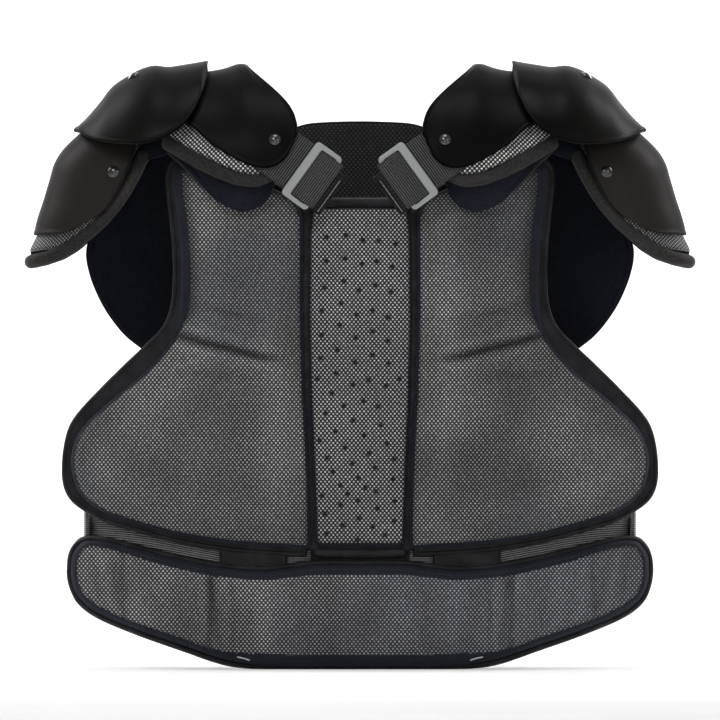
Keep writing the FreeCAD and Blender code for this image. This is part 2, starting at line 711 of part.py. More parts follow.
# ================================================================ arm cap
ARM = Arch((215.0, 440.0), [
    (249.0, 524.0, 212.0, 505.0, 62.0, 80.0),
    (268.0, 508.6, 215.5, 494.0, 70.0, 82.0),
    (283.1, 494.0, 219.0, 481.5, 75.0, 82.0),
    (291.7, 480.7, 224.0, 469.5, 77.5, 82.0),
    (296.5, 465.0, 229.5, 457.5, 78.0, 82.0),
    (301.7, 447.2, 236.8, 444.5, 76.5, 82.0),
    (308.0, 428.0, 246.0, 433.5, 75.0, 82.0, 0.0, -2.0),
    (311.6, 413.3, 259.0, 424.5, 70.5, 82.0, 0.0, -4.5),
])
ARM_PAD = Arch((215.0, 440.0), [
    (238.0, 518.0, 203.5, 496.0, 56.0, 80.0),
    (261.5, 501.5, 208.5, 484.0, 64.0, 82.0),
    (277.0, 486.5, 215.0, 470.0, 69.0, 82.0),
    (286.0, 473.0, 222.5, 457.5, 71.5, 82.0),
    (291.0, 459.0, 230.0, 445.5, 72.0, 82.0),
    (297.0, 440.0, 238.5, 433.0, 71.0, 82.0),
    (306.5, 416.0, 250.5, 420.0, 68.5, 82.0, 0.0, -2.0),
    (320.0, 388.5, 266.0, 407.0, 63.0, 82.0, 0.0, -4.5),
])
ARM_TRIM = (0.872, 6.6, 1.15, 0.0)
ARM_RIVET = (234.6, 471.8)    # x, z
ARM_GRIP = 21.0
# (x, z) points from the shoulder to the arm cap, under the shoulder cap
TETHER_PATH = [(187.5, 530.5), (202.0, 524.0), (219.0, 510.5), (231.0, 496.0), (238.0, 485.0)]


def build_arm_cap():
    build_capped_pad("arm_cap", ARM, ARM_PAD, ARM_TRIM, ARM_RIVET, ARM_GRIP)
    profile = strip_profile(TETHER_PATH, TETHER_T)
    axes = (X_AXIS, Z_AXIS, Y_AXIS)
    save_pair("arm_tether", extrude_profile(profile, Vector(0, 0, 0), axes, TETHER_W))


# ================================================================ shoulder cap over both
CAP = Arch((205.0, 440.0), [
    (146.3, 578.4, 145.1, 566.5, 46.0, 45.0),
    (152.0, 577.4, 149.7, 549.0, 84.0, 60.0),
    (160.0, 576.0, 157.0, 532.0, 102.0, 66.0),
    (170.0, 574.4, 167.5, 517.5, 111.5, 72.0),
    (183.1, 572.6, 184.5, 506.0, 115.0, 76.0),
    (196.4, 573.8, 204.0, 500.0, 113.0, 78.0),
    (209.0, 570.5, 222.0, 499.4, 105.0, 78.0),
    (221.7, 563.8, 238.0, 500.8, 93.0, 76.0),
    (236.5, 553.6, 251.0, 503.5, 79.0, 72.0),
    (248.3, 538.6, 261.0, 507.5, 62.0, 65.0),
    (262.0, 522.8, 268.0, 511.5, 47.0, 50.0),
    (271.7, 514.2, 271.7, 513.2, 34.0, 30.0),
])
CAP_RIVET = (216.1, 563.6)    # x, z


def build_shoulder_cap():
    site = CAP.site(*CAP_RIVET)
    save_pair("shoulder_cap", CAP.shell(PLATE_T, 17, 19).cut(rivet_hole(*site, 10.0)))
    save_pair("shoulder_cap_rivet", rivet(*site, PLATE_T + 0.4))


# ================================================================ back half
# Left halves of the outlines, as (x, z) points.
BACK = [
    [(0.0, 519.3), (30.0, 518.6), (54.0, 516.2), (72.0, 508.0), (92.0, 499.0),
     (116.0, 497.0), (142.0, 499.0)],
    [(142.0, 499.0), (164.0, 500.0), (180.0, 495.5), (190.0, 486.0), (201.0, 471.5),
     (224.0, 452.5), (244.0, 432.0), (256.0, 411.0), (260.0, 395.0), (257.5, 378.0),
     (250.5, 358.0), (239.0, 337.0), (222.9, 317.0), (205.6, 303.5), (190.0, 293.0),
     (176.0, 278.0), (168.0, 255.0), (166.0, 220.0), (167.0, 180.0), (166.0, 140.0),
     (158.0, 112.0), (136.0, 96.0), (100.0, 89.0), (50.0, 87.0), (0.0, 86.5)],
]
BACK_PAD = [
    [(0.0, 500.0), (32.0, 498.0), (52.0, 484.0), (66.0, 462.0), (78.0, 440.0)],
    [(78.0, 440.0), (94.0, 427.0), (118.0, 422.0), (140.0, 414.0), (154.0, 400.0),
     (158.0, 380.0), (156.0, 340.0), (154.0, 290.0), (152.0, 240.0), (153.0, 190.0),
     (152.0, 150.0), (145.0, 122.0), (126.0, 106.0), (96.0, 99.5), (50.0, 98.0), (0.0, 97.5)],
]
SPINE = [
    [(0.0, 452.0), (26.0, 450.0), (38.0, 436.0)],
    [(38.0, 436.0), (40.0, 400.0), (36.0, 330.0), (31.0, 260.0), (28.0, 205.0),
     (24.0, 176.0), (14.0, 166.0), (0.0, 164.0)],
]
SPINE_RIVET_Z = (425.0, 190.0)
SPINE_GRIP = 2.7
LOOP_PATH = [(0.0, 0.0), (6.0, 5.5), (20.0, 7.0), (34.0, 7.0), (48.0, 5.5), (54.0, 0.0)]
LOOP_T = 1.4
LOOP_W = 16.0


def build_back_panel():
    outline = half_to_full(BACK)
    foam_top = BACK_FOAM_BASE + BACK_FOAM_T
    save("back_lining", back_layer(outline, 0.0, LINER_T))
    save("back_foam", back_layer(outline, BACK_FOAM_BASE, foam_top, BACK_FOAM_INSET))
    # sewn band round the edge, outside the foam
    edge = back_layer(outline, BACK_FOAM_BASE, foam_top)
    inside = back_layer(outline, LINER_T - 2.0, LINER_T + 12.0, BACK_BINDING_W)
    save("back_binding", edge.cut(inside))


def build_spine():
    """Spine plate riveted to the back cover, which has recesses for the rivets' inner ends."""
    plate_top = SPINE_BASE + PLATE_T
    centres = [back_point(0.0, z, plate_top) for z in SPINE_RIVET_Z]
    plate = back_layer(
        half_to_full(SPINE), SPINE_BASE, plate_top, box=(-60, 60, 150, 470))
    cover = back_layer(half_to_full(BACK_PAD), *BACK_PAD_DEPTHS)
    recesses = [Part.makeCylinder(6.4, 3.2, centre - Y_AXIS * 5.4, Y_AXIS) for centre in centres]
    save("spine_plate", drilled(plate, [rivet_hole(centre, Y_AXIS, 8.0) for centre in centres]))
    save("spine_rivets", Part.makeCompound(
        [rivet(centre, Y_AXIS, SPINE_GRIP) for centre in centres]))
    save("back_cover", drilled(cover, recesses))


def build_hanging_loop():
    """Loop of webbing at the nape, standing off the back."""
    origin = Vector(-LOOP_PATH[-1][0] / 2, back_y(0, 480) + 18.4, 486.0)
    profile = strip_profile(LOOP_PATH, LOOP_T)
    save("hanging_loop", extrude_profile(profile, origin, (X_AXIS, Y_AXIS, Z_AXIS), LOOP_W))


# ================================================================ build and write
os.makedirs("parts", exist_ok=True)
build_chest_and_sternum()
build_belly()
build_waist_elastics()
build_buckles()
build_shoulder_arch()
build_arm_cap()
build_shoulder_cap()
build_back_panel()
build_spine()
build_hanging_loop()
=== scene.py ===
# A padded upper-body protector: chest, sternum, belly and back pads, a pair of shoulder arches
# with caps, a pair of arm caps, and the webbing, elastics and buckles that join them.
# It stands upright with +Z up. The front faces -Y, x = 0 is the middle plane, the pieces named
# "left" lie at +X, and the lowest edge of the belly pad is at z = 0.
# Lengths are in millimetres and become metres when a mesh is made. Lights, camera and the
# start and end points given to add_between are in metres.
import math

import bpy
import numpy as np
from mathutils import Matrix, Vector


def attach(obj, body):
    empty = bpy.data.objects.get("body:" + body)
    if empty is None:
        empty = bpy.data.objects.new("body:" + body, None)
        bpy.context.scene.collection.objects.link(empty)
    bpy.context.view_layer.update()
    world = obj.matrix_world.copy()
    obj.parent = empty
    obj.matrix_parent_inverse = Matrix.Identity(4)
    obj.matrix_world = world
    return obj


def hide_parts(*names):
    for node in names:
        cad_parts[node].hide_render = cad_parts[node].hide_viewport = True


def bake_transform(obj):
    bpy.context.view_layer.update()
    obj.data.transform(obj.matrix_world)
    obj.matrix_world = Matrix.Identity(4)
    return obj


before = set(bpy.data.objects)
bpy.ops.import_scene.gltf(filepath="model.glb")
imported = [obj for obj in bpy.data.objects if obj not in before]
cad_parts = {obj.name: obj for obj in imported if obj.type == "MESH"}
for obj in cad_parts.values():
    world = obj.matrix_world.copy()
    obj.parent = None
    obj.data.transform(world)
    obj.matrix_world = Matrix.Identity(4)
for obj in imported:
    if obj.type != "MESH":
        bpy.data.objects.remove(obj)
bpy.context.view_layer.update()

MM = 0.001
SIDES = (("left", 1.0), ("right", -1.0))
FRONT = np.array([0.0, -1.0, 0.0])
BACK = np.array([0.0, 1.0, 0.0])


# ================================================================ body surfaces
def smooth(t):
    t = np.clip(t, 0.0, 1.0)
    return t * t * (3.0 - 2.0 * t)


def front_y(x, z):
    """The curved face that all front pieces are laid on."""
    bulge = smooth((440.0 - z) / 190.0) * (1.0 - 0.35 * smooth((230.0 - z) / 230.0))
    return -(80.0 + 20.0 * bulge) + 62.0 * (x / 285.0) ** 2


def back_y(x, z):
    """The curved face that all back pieces are laid on."""
    bulge = smooth((450.0 - z) / 170.0) * (1.0 - 0.6 * smooth((240.0 - z) / 170.0))
    return 80.0 + 9.0 * bulge - 60.0 * (x / 285.0) ** 2


def on_front(xz, depth):
    """Points (x, z) placed on the front face and raised towards -Y by depth."""
    x, z = xz[..., 0], xz[..., 1]
    return np.stack([x, front_y(x, z) - depth, z], -1)


def on_back(xz, depth):
    """Points (x, z) placed on the back face and raised towards +Y by depth."""
    x, z = xz[..., 0], xz[..., 1]
    return np.stack([x, back_y(x, z) + depth, z], -1)


# ================================================================ curves
def catmull(values, u):
    """Catmull-Rom curve through values, read at the fractional index u."""
    v = np.asarray(values, float)
    n = len(v)
    i = np.clip(np.floor(u).astype(int), 0, n - 2)
    f = u - i
    p1, p2 = v[i], v[i + 1]
    p0 = np.where(i > 0, v[np.maximum(i - 1, 0)], 2 * p1 - p2)
    p3 = np.where(i + 2 < n, v[np.minimum(i + 2, n - 1)], 2 * p2 - p1)
    square = (2 * p0 - 5 * p1 + 4 * p2 - p3) * f * f
    return 0.5 * (2 * p1 + (p2 - p0) * f + square + (3 * p1 - p0 - 3 * p2 + p3) * f ** 3)


def arc(points):
    """Running length along a polyline."""
    return np.concatenate([[0.0], np.cumsum(np.linalg.norm(np.diff(points, axis=0), axis=1))])


def at_param(curve, t):
    """Points at the fractions t of a curve's length."""
    length = arc(curve)
    s = np.asarray(t) * length[-1]
    return np.stack([np.interp(s, length, column) for column in curve.T], -1)


def resample(points, count):
    return at_param(np.asarray(points, float), np.linspace(0, 1, count))


def spline(points, count):
    """Smooth curve through the points, evenly spaced."""
    points = np.asarray(points, float)
    u = np.linspace(0, len(points) - 1, 60 * len(points))
    return resample(np.stack([catmull(column, u) for column in points.T], -1), count)


def soften(values, rounds):
    """Average each row with its neighbours, in place; the end rows stay."""
    for _ in range(rounds):
        values[1:-1] = (values[:-2] + 2 * values[1:-1] + values[2:]) * 0.25
    return values


def ease(points, count, rounds=12):
    return resample(soften(resample(points, count * 3), rounds), count)


def cluster(count, bias):
    """0..1 with finer steps at both ends; bias 0 is even."""
    t = np.linspace(0, 1, count)
    return (1 - bias) * t + bias * (0.5 - 0.5 * np.cos(math.pi * t))


def path_normals(path):
    """Unit normals of a flat path, to the left of its direction."""
    d = np.gradient(path, axis=0)
    d /= np.linalg.norm(d, axis=1, keepdims=True)
    return np.stack([-d[:, 1], d[:, 0]], -1)


def half_to_full(half):
    """A half outline, from the middle line outwards, as the full curve from -x to +x."""
    half = np.asarray(half, float)
    return np.concatenate([half[::-1] * [-1, 1], half[1:]])


def inset_loop(outline, inset, count):
    """Closed path parallel to an outline, on its inside."""
    p = resample(np.concatenate([outline, outline[:1]]), count + 1)[:-1]
    d = np.roll(p, -1, 0) - np.roll(p, 1, 0)
    d /= np.linalg.norm(d, axis=1, keepdims=True) + 1e-9
    normal = np.stack([-d[:, 1], d[:, 0]], -1)
    area = (p[:, 0] * np.roll(p[:, 1], -1) - np.roll(p[:, 0], -1) * p[:, 1]).sum()
    path = p + normal * (inset if area > 0 else -inset)
    for _ in range(6):
        path = (np.roll(path, 1, 0) + 2 * path + np.roll(path, -1, 0)) / 4
    return path


# ================================================================ grids
def coons(low, top, inner, outer, nu, nv, bias):
    """Grid inside four curves: low and top run along u, inner and outer along v."""
    u, v = cluster(nu, bias), cluster(nv, bias)
    lows, tops = at_param(low, u)[:, None], at_param(top, u)[:, None]
    inners, outers = at_param(inner, v)[None], at_param(outer, v)[None]
    u, v = u[:, None, None], v[None, :, None]
    corners = (1 - u) * (1 - v) * low[0] + u * (1 - v) * low[-1]
    corners = corners + (1 - u) * v * top[0] + u * v * top[-1]
    return (1 - v) * lows + v * tops + (1 - u) * inners + u * outers - corners


def band_grid(top, low, ni, nj, bias):
    """Grid between two curves that run side by side in x."""
    u = 0.004 + 0.992 * cluster(ni, 0.35)
    v = cluster(nj, bias)[None, :, None]
    tops, lows = at_param(spline(top, 900), u), at_param(spline(low, 900), u)
    return lows[:, None] * (1 - v) + tops[:, None] * v


def rows_grid(half, ni, nj, inset=0.006):
    """Grid of level rows across a mirrored half outline."""
    edge = at_param(spline(half, 1200), inset + (1 - 2 * inset) * cluster(nj, 0.15))
    u = 2 * cluster(ni, 0.5) - 1
    z = np.broadcast_to(edge[None, :, 1], (ni, nj))
    return np.stack([u[:, None] * edge[None, :, 0], z], -1)


def grid_rim(grid):
    sides = [grid[:, 0], grid[-1, 1:], grid[::-1, -1][1:], grid[0, ::-1][1:-1]]
    return np.concatenate(sides)


def unit_grid(ni, nj):
    return np.meshgrid(np.linspace(0, 1, ni), np.linspace(0, 1, nj), indexing="ij")


def line_dist(grid, points):
    """Distance of grid points (x, z) from a polyline, and how far along it (0..1) they meet it."""
    p = grid.reshape(-1, 2)
    start, end = np.asarray(points, float)[:-1], np.asarray(points, float)[1:]
    length = np.linalg.norm(end - start, axis=1)
    before = np.concatenate([[0], np.cumsum(length)])
    best = np.full(len(p), 1e9)
    along = np.zeros(len(p))
    for i, step in enumerate(end - start):
        t = np.clip(((p - start[i]) @ step) / max(length[i] ** 2, 1e-9), 0, 1)
        dist = np.linalg.norm(p - start[i] - t[:, None] * step, axis=1)
        near = dist < best
        best[near] = dist[near]
        along[near] = (before[i] + t[near] * length[i]) / before[-1]
    return best.reshape(grid.shape[:2]), along.reshape(grid.shape[:2])


def edge_distance(grid, outline):
    """Distance of every grid point from a closed outline."""
    return line_dist(grid, np.concatenate([outline, outline[:1]]))[0]


def grid_normals(grid):
    n = np.cross(np.gradient(grid, axis=0), np.gradient(grid, axis=1))
    return n / (np.linalg.norm(n, axis=-1, keepdims=True) + 1e-12)


def cell_mean(values):
    return (values[:-1, :-1] + values[1:, 1:]) / 2


def lift_grid(ni, nj, table):
    """A coarse table resampled to ni by nj, with slightly eased steps."""
    rows, columns = table.shape[:2]
    a = np.linspace(0, rows - 1, ni)
    b = np.linspace(0, columns - 1, nj)
    i = np.clip(a.astype(int), 0, rows - 2)
    j = np.clip(b.astype(int), 0, columns - 2)
    fa = (a - i)[:, None]
    fb = (b - j)[None]
    fa, fb = smooth(fa) * 0.4 + fa * 0.6, smooth(fb) * 0.4 + fb * 0.6
    low = (1 - fa) * table[i][:, j] + fa * table[i + 1][:, j]
    high = (1 - fa) * table[i][:, j + 1] + fa * table[i + 1][:, j + 1]
    return (1 - fb) * low + fb * high


def wave(x, z, seed):
    """Slow, even unevenness of stuffed cloth, about -1 to 1."""
    rng = np.random.RandomState(100 + seed)
    total = 0
    for _ in range(7):
        a, b, c = rng.uniform(-0.05, 0.05), rng.uniform(-0.05, 0.05), rng.uniform(0, 6.28)
        total = total + np.sin(a * x + b * z + c)
    return total / 4.0


def profile(edge, width):
    """Quarter round edge: 0 at the seam, 1 inside."""
    t = np.clip(edge / width, 0, 1)
    return (1 - (1 - t) ** 2) ** 0.5


def bell(dist, width):
    """Soft peak, 1 where dist is 0."""
    return np.exp(-(dist / width) ** 2)


def mirrored(points, sign):
    points = np.array(points, float)
    points[..., 0] *= sign
    return points


# ================================================================ mesh makers
def make(name, verts, faces, mats, uv=None, face_mat=None, attrs=None):
    me = bpy.data.meshes.new(name)
    faces = [tuple(int(i) for i in face) for face in faces]
    me.from_pydata((np.asarray(verts, float) * MM).tolist(), [], faces)
    for mat in mats:
        me.materials.append(mat)
    if face_mat is not None:
        me.polygons.foreach_set("material_index", np.asarray(face_mat, np.int32))
    if uv is not None:
        layer = me.uv_layers.new(name="UVMap")
        corner = np.zeros(len(me.loops), np.int32)
        me.loops.foreach_get("vertex_index", corner)
        layer.data.foreach_set("uv", np.asarray(uv, np.float32)[corner].ravel())
    for key, values in (attrs or {}).items():
        attribute = me.attributes.new(key, "FLOAT", "POINT")
        attribute.data.foreach_set("value", np.asarray(values, np.float32))
    me.validate(clean_customdata=False)
    me.polygons.foreach_set("use_smooth", np.full(len(me.polygons), True))
    me.update()
    ob = bpy.data.objects.new(name, me)
    bpy.context.scene.collection.objects.link(ob)
    return ob


def quads(ni, nj, base=0):
    i, j = np.meshgrid(np.arange(ni - 1), np.arange(nj - 1), indexing="ij")
    a = base + i * nj + j
    return np.stack([a, a + nj, a + nj + 1, a + 1], -1).reshape(-1, 4)


def border_ids(ni, nj):
    """Vertex numbers around the border of a grid, in order."""
    ids = [i * nj for i in range(ni)] + [(ni - 1) * nj + j for j in range(1, nj)]
    ids += [i * nj + nj - 1 for i in range(ni - 2, -1, -1)] + [j for j in range(nj - 2, 0, -1)]
    return np.array(ids)


def two_sides(outer, inner):
    """Faces of both grids, looking away from each other, and whether they had to be flipped."""
    ni, nj = outer.shape[:2]
    i, j = ni // 2, nj // 2
    cross = np.cross(outer[i + 1, j] - outer[i, j], outer[i, j + 1] - outer[i, j])
    flip = np.dot(cross, outer[i, j] - inner[i, j]) < 0
    out_faces, in_faces = quads(ni, nj), quads(ni, nj, ni * nj)[:, ::-1]
    if flip:
        out_faces, in_faces = out_faces[:, ::-1], in_faces[:, ::-1]
    return out_faces, in_faces, flip


def share_border(faces, border, count):
    """Give the inner grid the outer grid's border. Returns the kept vertices and the faces."""
    remap = np.arange(2 * count)
    remap[count + border] = border
    faces = remap[faces]
    used = np.unique(faces)
    new_id = np.full(2 * count, -1)
    new_id[used] = np.arange(len(used))
    return used, new_id[faces]


def shell(name, outer, inner, mats, uv, rim=2, outer_mat=0, inner_mat=0, rim_mat=0, attrs=None):
    """Closed shell between two grids.

    rim is the number of rings in its rounded edge; with 0 the grids share their border.
    outer_mat and inner_mat are one slot number, or one per face.
    """
    ni, nj = outer.shape[:2]
    count = ni * nj
    border = border_ids(ni, nj)
    out_faces, in_faces, flip = two_sides(outer, inner)
    grid_uv = np.asarray(uv, float).reshape(-1, 2)
    verts, uvs = [outer.reshape(-1, 3), inner.reshape(-1, 3)], [grid_uv, grid_uv]
    faces = [out_faces, in_faces]
    face_mat = [np.full(len(out_faces), outer_mat), np.full(len(in_faces), inner_mat)]
    if rim:
        # outward direction at the border: away from the neighbouring inside points
        i, j = border // nj, border % nj
        i2 = np.clip(i + np.where(i == 0, 1, np.where(i == ni - 1, -1, 0)), 0, ni - 1)
        j2 = np.clip(j + np.where(j == 0, 1, np.where(j == nj - 1, -1, 0)), 0, nj - 1)
        middle = (outer + inner) / 2
        away = middle[i, j] - middle[i2, j2]
        away /= np.linalg.norm(away, axis=1, keepdims=True) + 1e-9
        half = (outer - inner)[i, j] / 2
        radius = np.linalg.norm(half, axis=1, keepdims=True)
        rings = [border]
        for k in range(rim):
            angle = math.pi * (k + 1) / (rim + 1)
            bulge = away * radius * math.sin(angle)
            verts.append(middle[i, j] + half * math.cos(angle) + bulge)
            uvs.append(grid_uv[border])
            rings.append(2 * count + k * len(border) + np.arange(len(border)))
        rings.append(count + border)
        for r0, r1 in zip(rings, rings[1:]):
            ring_faces = np.stack([r0, r1, np.roll(r1, -1), np.roll(r0, -1)], -1)
            faces.append(ring_faces if flip else ring_faces[:, ::-1])
            face_mat.append(np.full(len(ring_faces), rim_mat))
    verts, uvs, faces = np.concatenate(verts), np.concatenate(uvs), np.concatenate(faces)
    values = {}
    for key, grid in (attrs or {}).items():
        flat = np.asarray(grid, float).reshape(-1)
        values[key] = np.concatenate([flat, flat] + [flat[border]] * rim)
    if not rim:
        used, faces = share_border(faces, border, count)
        verts, uvs = verts[used], uvs[used]
        values = {key: value[used] for key, value in values.items()}
    return make(name, verts, faces, mats, uvs, np.concatenate(face_mat), values)


def slab(name, place, xz, outer, inner, mat, sign=1.0, rim=2):
    """Plain piece between two depths on the front or back face."""
    return shell(name, mirrored(place(xz, outer), sign), mirrored(place(xz, inner), sign),
                 [mat], xz, rim)


def cushion(name, place, xz, depth, base, mats, wall, shade, sign=1.0):
    """Stuffed pad from the depth base outwards. mats are face, side wall and rear."""
    return shell(name, mirrored(place(xz, depth), sign), mirrored(place(xz, base), sign),
                 mats, xz, rim=0, outer_mat=np.where(wall.reshape(-1), 1, 0), inner_mat=2,
                 attrs={"shade": shade})


def ribbon(name, path, across, rise, base, place, mat, sign=1.0):
    """Band swept along a flat path.

    across are its stations over the width. rise and base shift its two faces along the path
    normal. place(a, b, across) turns path coordinates into points.
    """
    across = np.broadcast_to(across[None], (len(path), len(across)))
    normal = path_normals(path)[:, None]

    def face(shift):
        shift = shift + 0 * across
        a = path[:, None, 0] + normal[..., 0] * shift
        b = path[:, None, 1] + normal[..., 1] * shift
        return mirrored(place(a, b, across), sign)

    uv = np.stack([np.broadcast_to(arc(path)[:, None], across.shape), across], -1)
    return shell(name, face(rise), face(base), [mat], uv)


def frames(path, up=None):
    """Up and side directions along a path; without up, one is carried along it."""
    d = np.gradient(path, axis=0)
    d /= np.linalg.norm(d, axis=1, keepdims=True) + 1e-12
    if up is None:
        ups = np.zeros_like(path)
        u = np.array([0.31, 0.2, 0.93])
        for i in range(len(path)):
            u = u - d[i] * (u @ d[i])
            u /= np.linalg.norm(u)
            ups[i] = u
    else:
        ups = np.broadcast_to(up, path.shape).copy()
        ups -= d * (ups * d).sum(1, keepdims=True)
        ups /= np.linalg.norm(ups, axis=1, keepdims=True) + 1e-12
    return ups, np.cross(d, ups)


def tube(name, path, radius, mat, seg, up=None, flat=1.0, loop=False, wobble=0.0, swell=1.0):
    """Round or oval bar along a path: radius across, radius * flat along up."""
    n = len(path)
    if loop:
        ups, sides = [q[2:-2] for q in frames(np.concatenate([path[-2:], path, path[:2]]), up)]
    else:
        ups, sides = frames(path, up)
    length = arc(path)
    r = radius * (1 + wobble * (np.sin(length * 0.21) + np.sin(length * 0.083 + 1.3)) * 0.5)
    if not loop:    # rounded ends
        end = np.clip(np.minimum(length, length[-1] - length) / (radius * 0.9), 0, 1)
        r = r * np.sqrt(np.clip(1 - (1 - end) ** 2, 0.02, 1))
    r = r * swell
    angle = np.arange(seg) * 2 * math.pi / seg
    ring = sides[:, None] * np.cos(angle)[None, :, None]
    ring = ring + ups[:, None] * (np.sin(angle) * flat)[None, :, None]
    verts = path[:, None] + ring * r[:, None, None]
    uv = np.stack(np.broadcast_arrays(length[:, None], (angle * radius)[None]), -1)
    i, k = np.meshgrid(np.arange(n if loop else n - 1), np.arange(seg), indexing="ij")
    i2, k2 = (i + 1) % n, (k + 1) % seg
    faces = np.stack([i * seg + k, i * seg + k2, i2 * seg + k2, i2 * seg + k], -1)
    faces = [tuple(face) for face in faces.reshape(-1, 4)]
    if not loop:
        faces.append(tuple(range(seg))[::-1])
        faces.append(tuple((n - 1) * seg + k for k in range(seg)))
    return make(name, verts.reshape(-1, 3), faces, [mat], uv.reshape(-1, 2))


# place along the stitch, height and thickness; the last two in thread radii
STITCH_RINGS = [(-0.5, -0.9, 0.35), (-0.42, 0.0, 0.85), (0.0, 0.35, 1.0), (0.42, 0.0, 0.85),
                (0.5, -0.9, 0.35)]
STITCH_SEG = 5
STITCH_LIFT = 0.15


def stitches(name, path, normal, mat, length, gap, radius, loop=False):
    """A row of sewn stitches: short bars that dip at both ends."""
    if loop:
        path = np.concatenate([path, path[:1]])
    run = arc(path)
    count = max(1, int(run[-1] / (length + gap)))
    centre = (np.arange(count) + 0.5) * (length + gap)

    def pick(s):
        s = np.clip(s, 0, run[-1])
        return np.stack([np.interp(s, run, column) for column in path.T], -1)

    along = pick(centre + 0.4) - pick(centre - 0.4)
    along /= np.linalg.norm(along, axis=1, keepdims=True) + 1e-9
    up = normal - along * (normal * along).sum(1, keepdims=True)
    up /= np.linalg.norm(up, axis=1, keepdims=True) + 1e-9
    side = np.cross(along, up)
    verts = []
    for shift, height, thick in STITCH_RINGS:
        middle = pick(centre + shift * length) + up * (STITCH_LIFT + height * radius)
        for k in range(STITCH_SEG):
            angle = 2 * math.pi * k / STITCH_SEG
            around = side * math.cos(angle) + up * math.sin(angle)
            verts.append(middle + around * (radius * thick))
    rings, seg = len(STITCH_RINGS), STITCH_SEG
    one = []
    for k in range(rings - 1):
        for m in range(seg):
            m2 = (m + 1) % seg
            one.append((k * seg + m, k * seg + m2, (k + 1) * seg + m2, (k + 1) * seg + m))
    one.append(tuple(range(seg))[::-1])
    one.append(tuple((rings - 1) * seg + m for m in range(seg)))
    faces = [tuple(v + i * rings * seg for v in face) for i in range(count) for face in one]
    return make(name, np.stack(verts, 1).reshape(-1, 3), faces, [mat])


def add(ob, body, replaces=()):
    """A piece that moves with one body."""
    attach(ob, body)
    if replaces:
        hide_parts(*replaces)


def add_between(ob, slot, bodies, start, end, replaces=()):
    """A piece that lies between two bodies, kept where it was made; the parts it replaces are
    hidden.
    """
    if replaces:
        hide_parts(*replaces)
    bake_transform(ob)


def pair(name, build, body, replaces=()):
    """Make build(name, sign) on the left and on the right."""
    for side, sign in SIDES:
        ob = build(name + "_" + side, sign)
        add(ob, body + "_" + side, [r + "_" + side for r in replaces])


# ================================================================ materials, all procedural
class Graph:
    """A new material and short hand for its shader maths."""

    def __init__(self, name):
        self.material = bpy.data.materials.new(name)
        self.material.use_nodes = True
        self.tree = self.material.node_tree
        self.bsdf = self.tree.nodes.get("Principled BSDF")
        self.cache = {}

    def node(self, kind, **props):
        n = self.tree.nodes.new(kind)
        for key, value in props.items():
            setattr(n, key, value)
        return n

    def put(self, socket, value):
        if isinstance(value, bpy.types.NodeSocket):
            self.tree.links.new(value, socket)
        else:
            socket.default_value = value

    def surface(self, inputs):
        for key, value in inputs.items():
            self.put(self.bsdf.inputs[key], value)
        return self.material

    def math(self, op, a, b=0.0, c=0.0):
        n = self.node("ShaderNodeMath", operation=op)
        for socket, value in zip(n.inputs, (a, b, c)):
            self.put(socket, value)
        return n.outputs[0]

    def add(self, a, b):
        return self.math("ADD", a, b)

    def times(self, a, b):
        return self.math("MULTIPLY", a, b)

    def step(self, value, lo, hi, a=0.0, b=1.0):
        """Smooth change from a to b while value goes from lo to hi."""
        n = self.node("ShaderNodeMapRange", interpolation_type="SMOOTHSTEP")
        inputs = {"Value": value, "From Min": lo, "From Max": hi, "To Min": a, "To Max": b}
        for key, v in inputs.items():
            self.put(n.inputs[key], v)
        return n.outputs[0]

    def mix(self, factor, a, b):
        n = self.node("ShaderNodeMix", data_type="RGBA")
        self.put(n.inputs[0], factor)
        for socket, v in ((n.inputs[6], a), (n.inputs[7], b)):
            self.put(socket, v if isinstance(v, bpy.types.NodeSocket) else (*v, 1.0))
        return n.outputs[2]

    def position(self):
        if "position" not in self.cache:
            self.cache["position"] = self.node("ShaderNodeTexCoord").outputs["Object"]
        return self.cache["position"]

    def noise(self, scale, detail=2.0, rough=0.5):
        n = self.node("ShaderNodeTexNoise")
        inputs = {"Scale": scale, "Detail": detail, "Roughness": rough,
                  "Vector": self.position()}
        for key, v in inputs.items():
            self.put(n.inputs[key], v)
        return n.outputs["Fac"]

    def split(self, vector):
        n = self.node("ShaderNodeSeparateXYZ")
        self.put(n.inputs[0], vector)
        return n.outputs

    def uv(self):
        """The two UV coordinates, in millimetres."""
        return self.split(self.node("ShaderNodeUVMap", uv_map="UVMap").outputs[0])

    def sine(self, value, pitch):
        return self.math("SINE", self.times(value, 2 * math.pi / pitch))

    def bump(self, height, strength, distance):
        n = self.node("ShaderNodeBump")
        n.inputs["Strength"].default_value = strength
        n.inputs["Distance"].default_value = distance
        self.put(n.inputs["Height"], height)
        return n.outputs[0]


def lattice(g, u, v, pitch):
    """Distance in millimetres from the nearest point of a staggered lattice."""
    def one(offset):
        total = []
        for value, size in zip((u, v), pitch):
            cell = g.math("FRACT", g.add(g.math("DIVIDE", value, size), offset))
            d = g.times(g.math("SUBTRACT", cell, 0.5), size)
            total.append(g.times(d, d))
        return g.math("SQRT", g.add(*total))
    return g.math("MINIMUM", one(0.0), one(0.5))


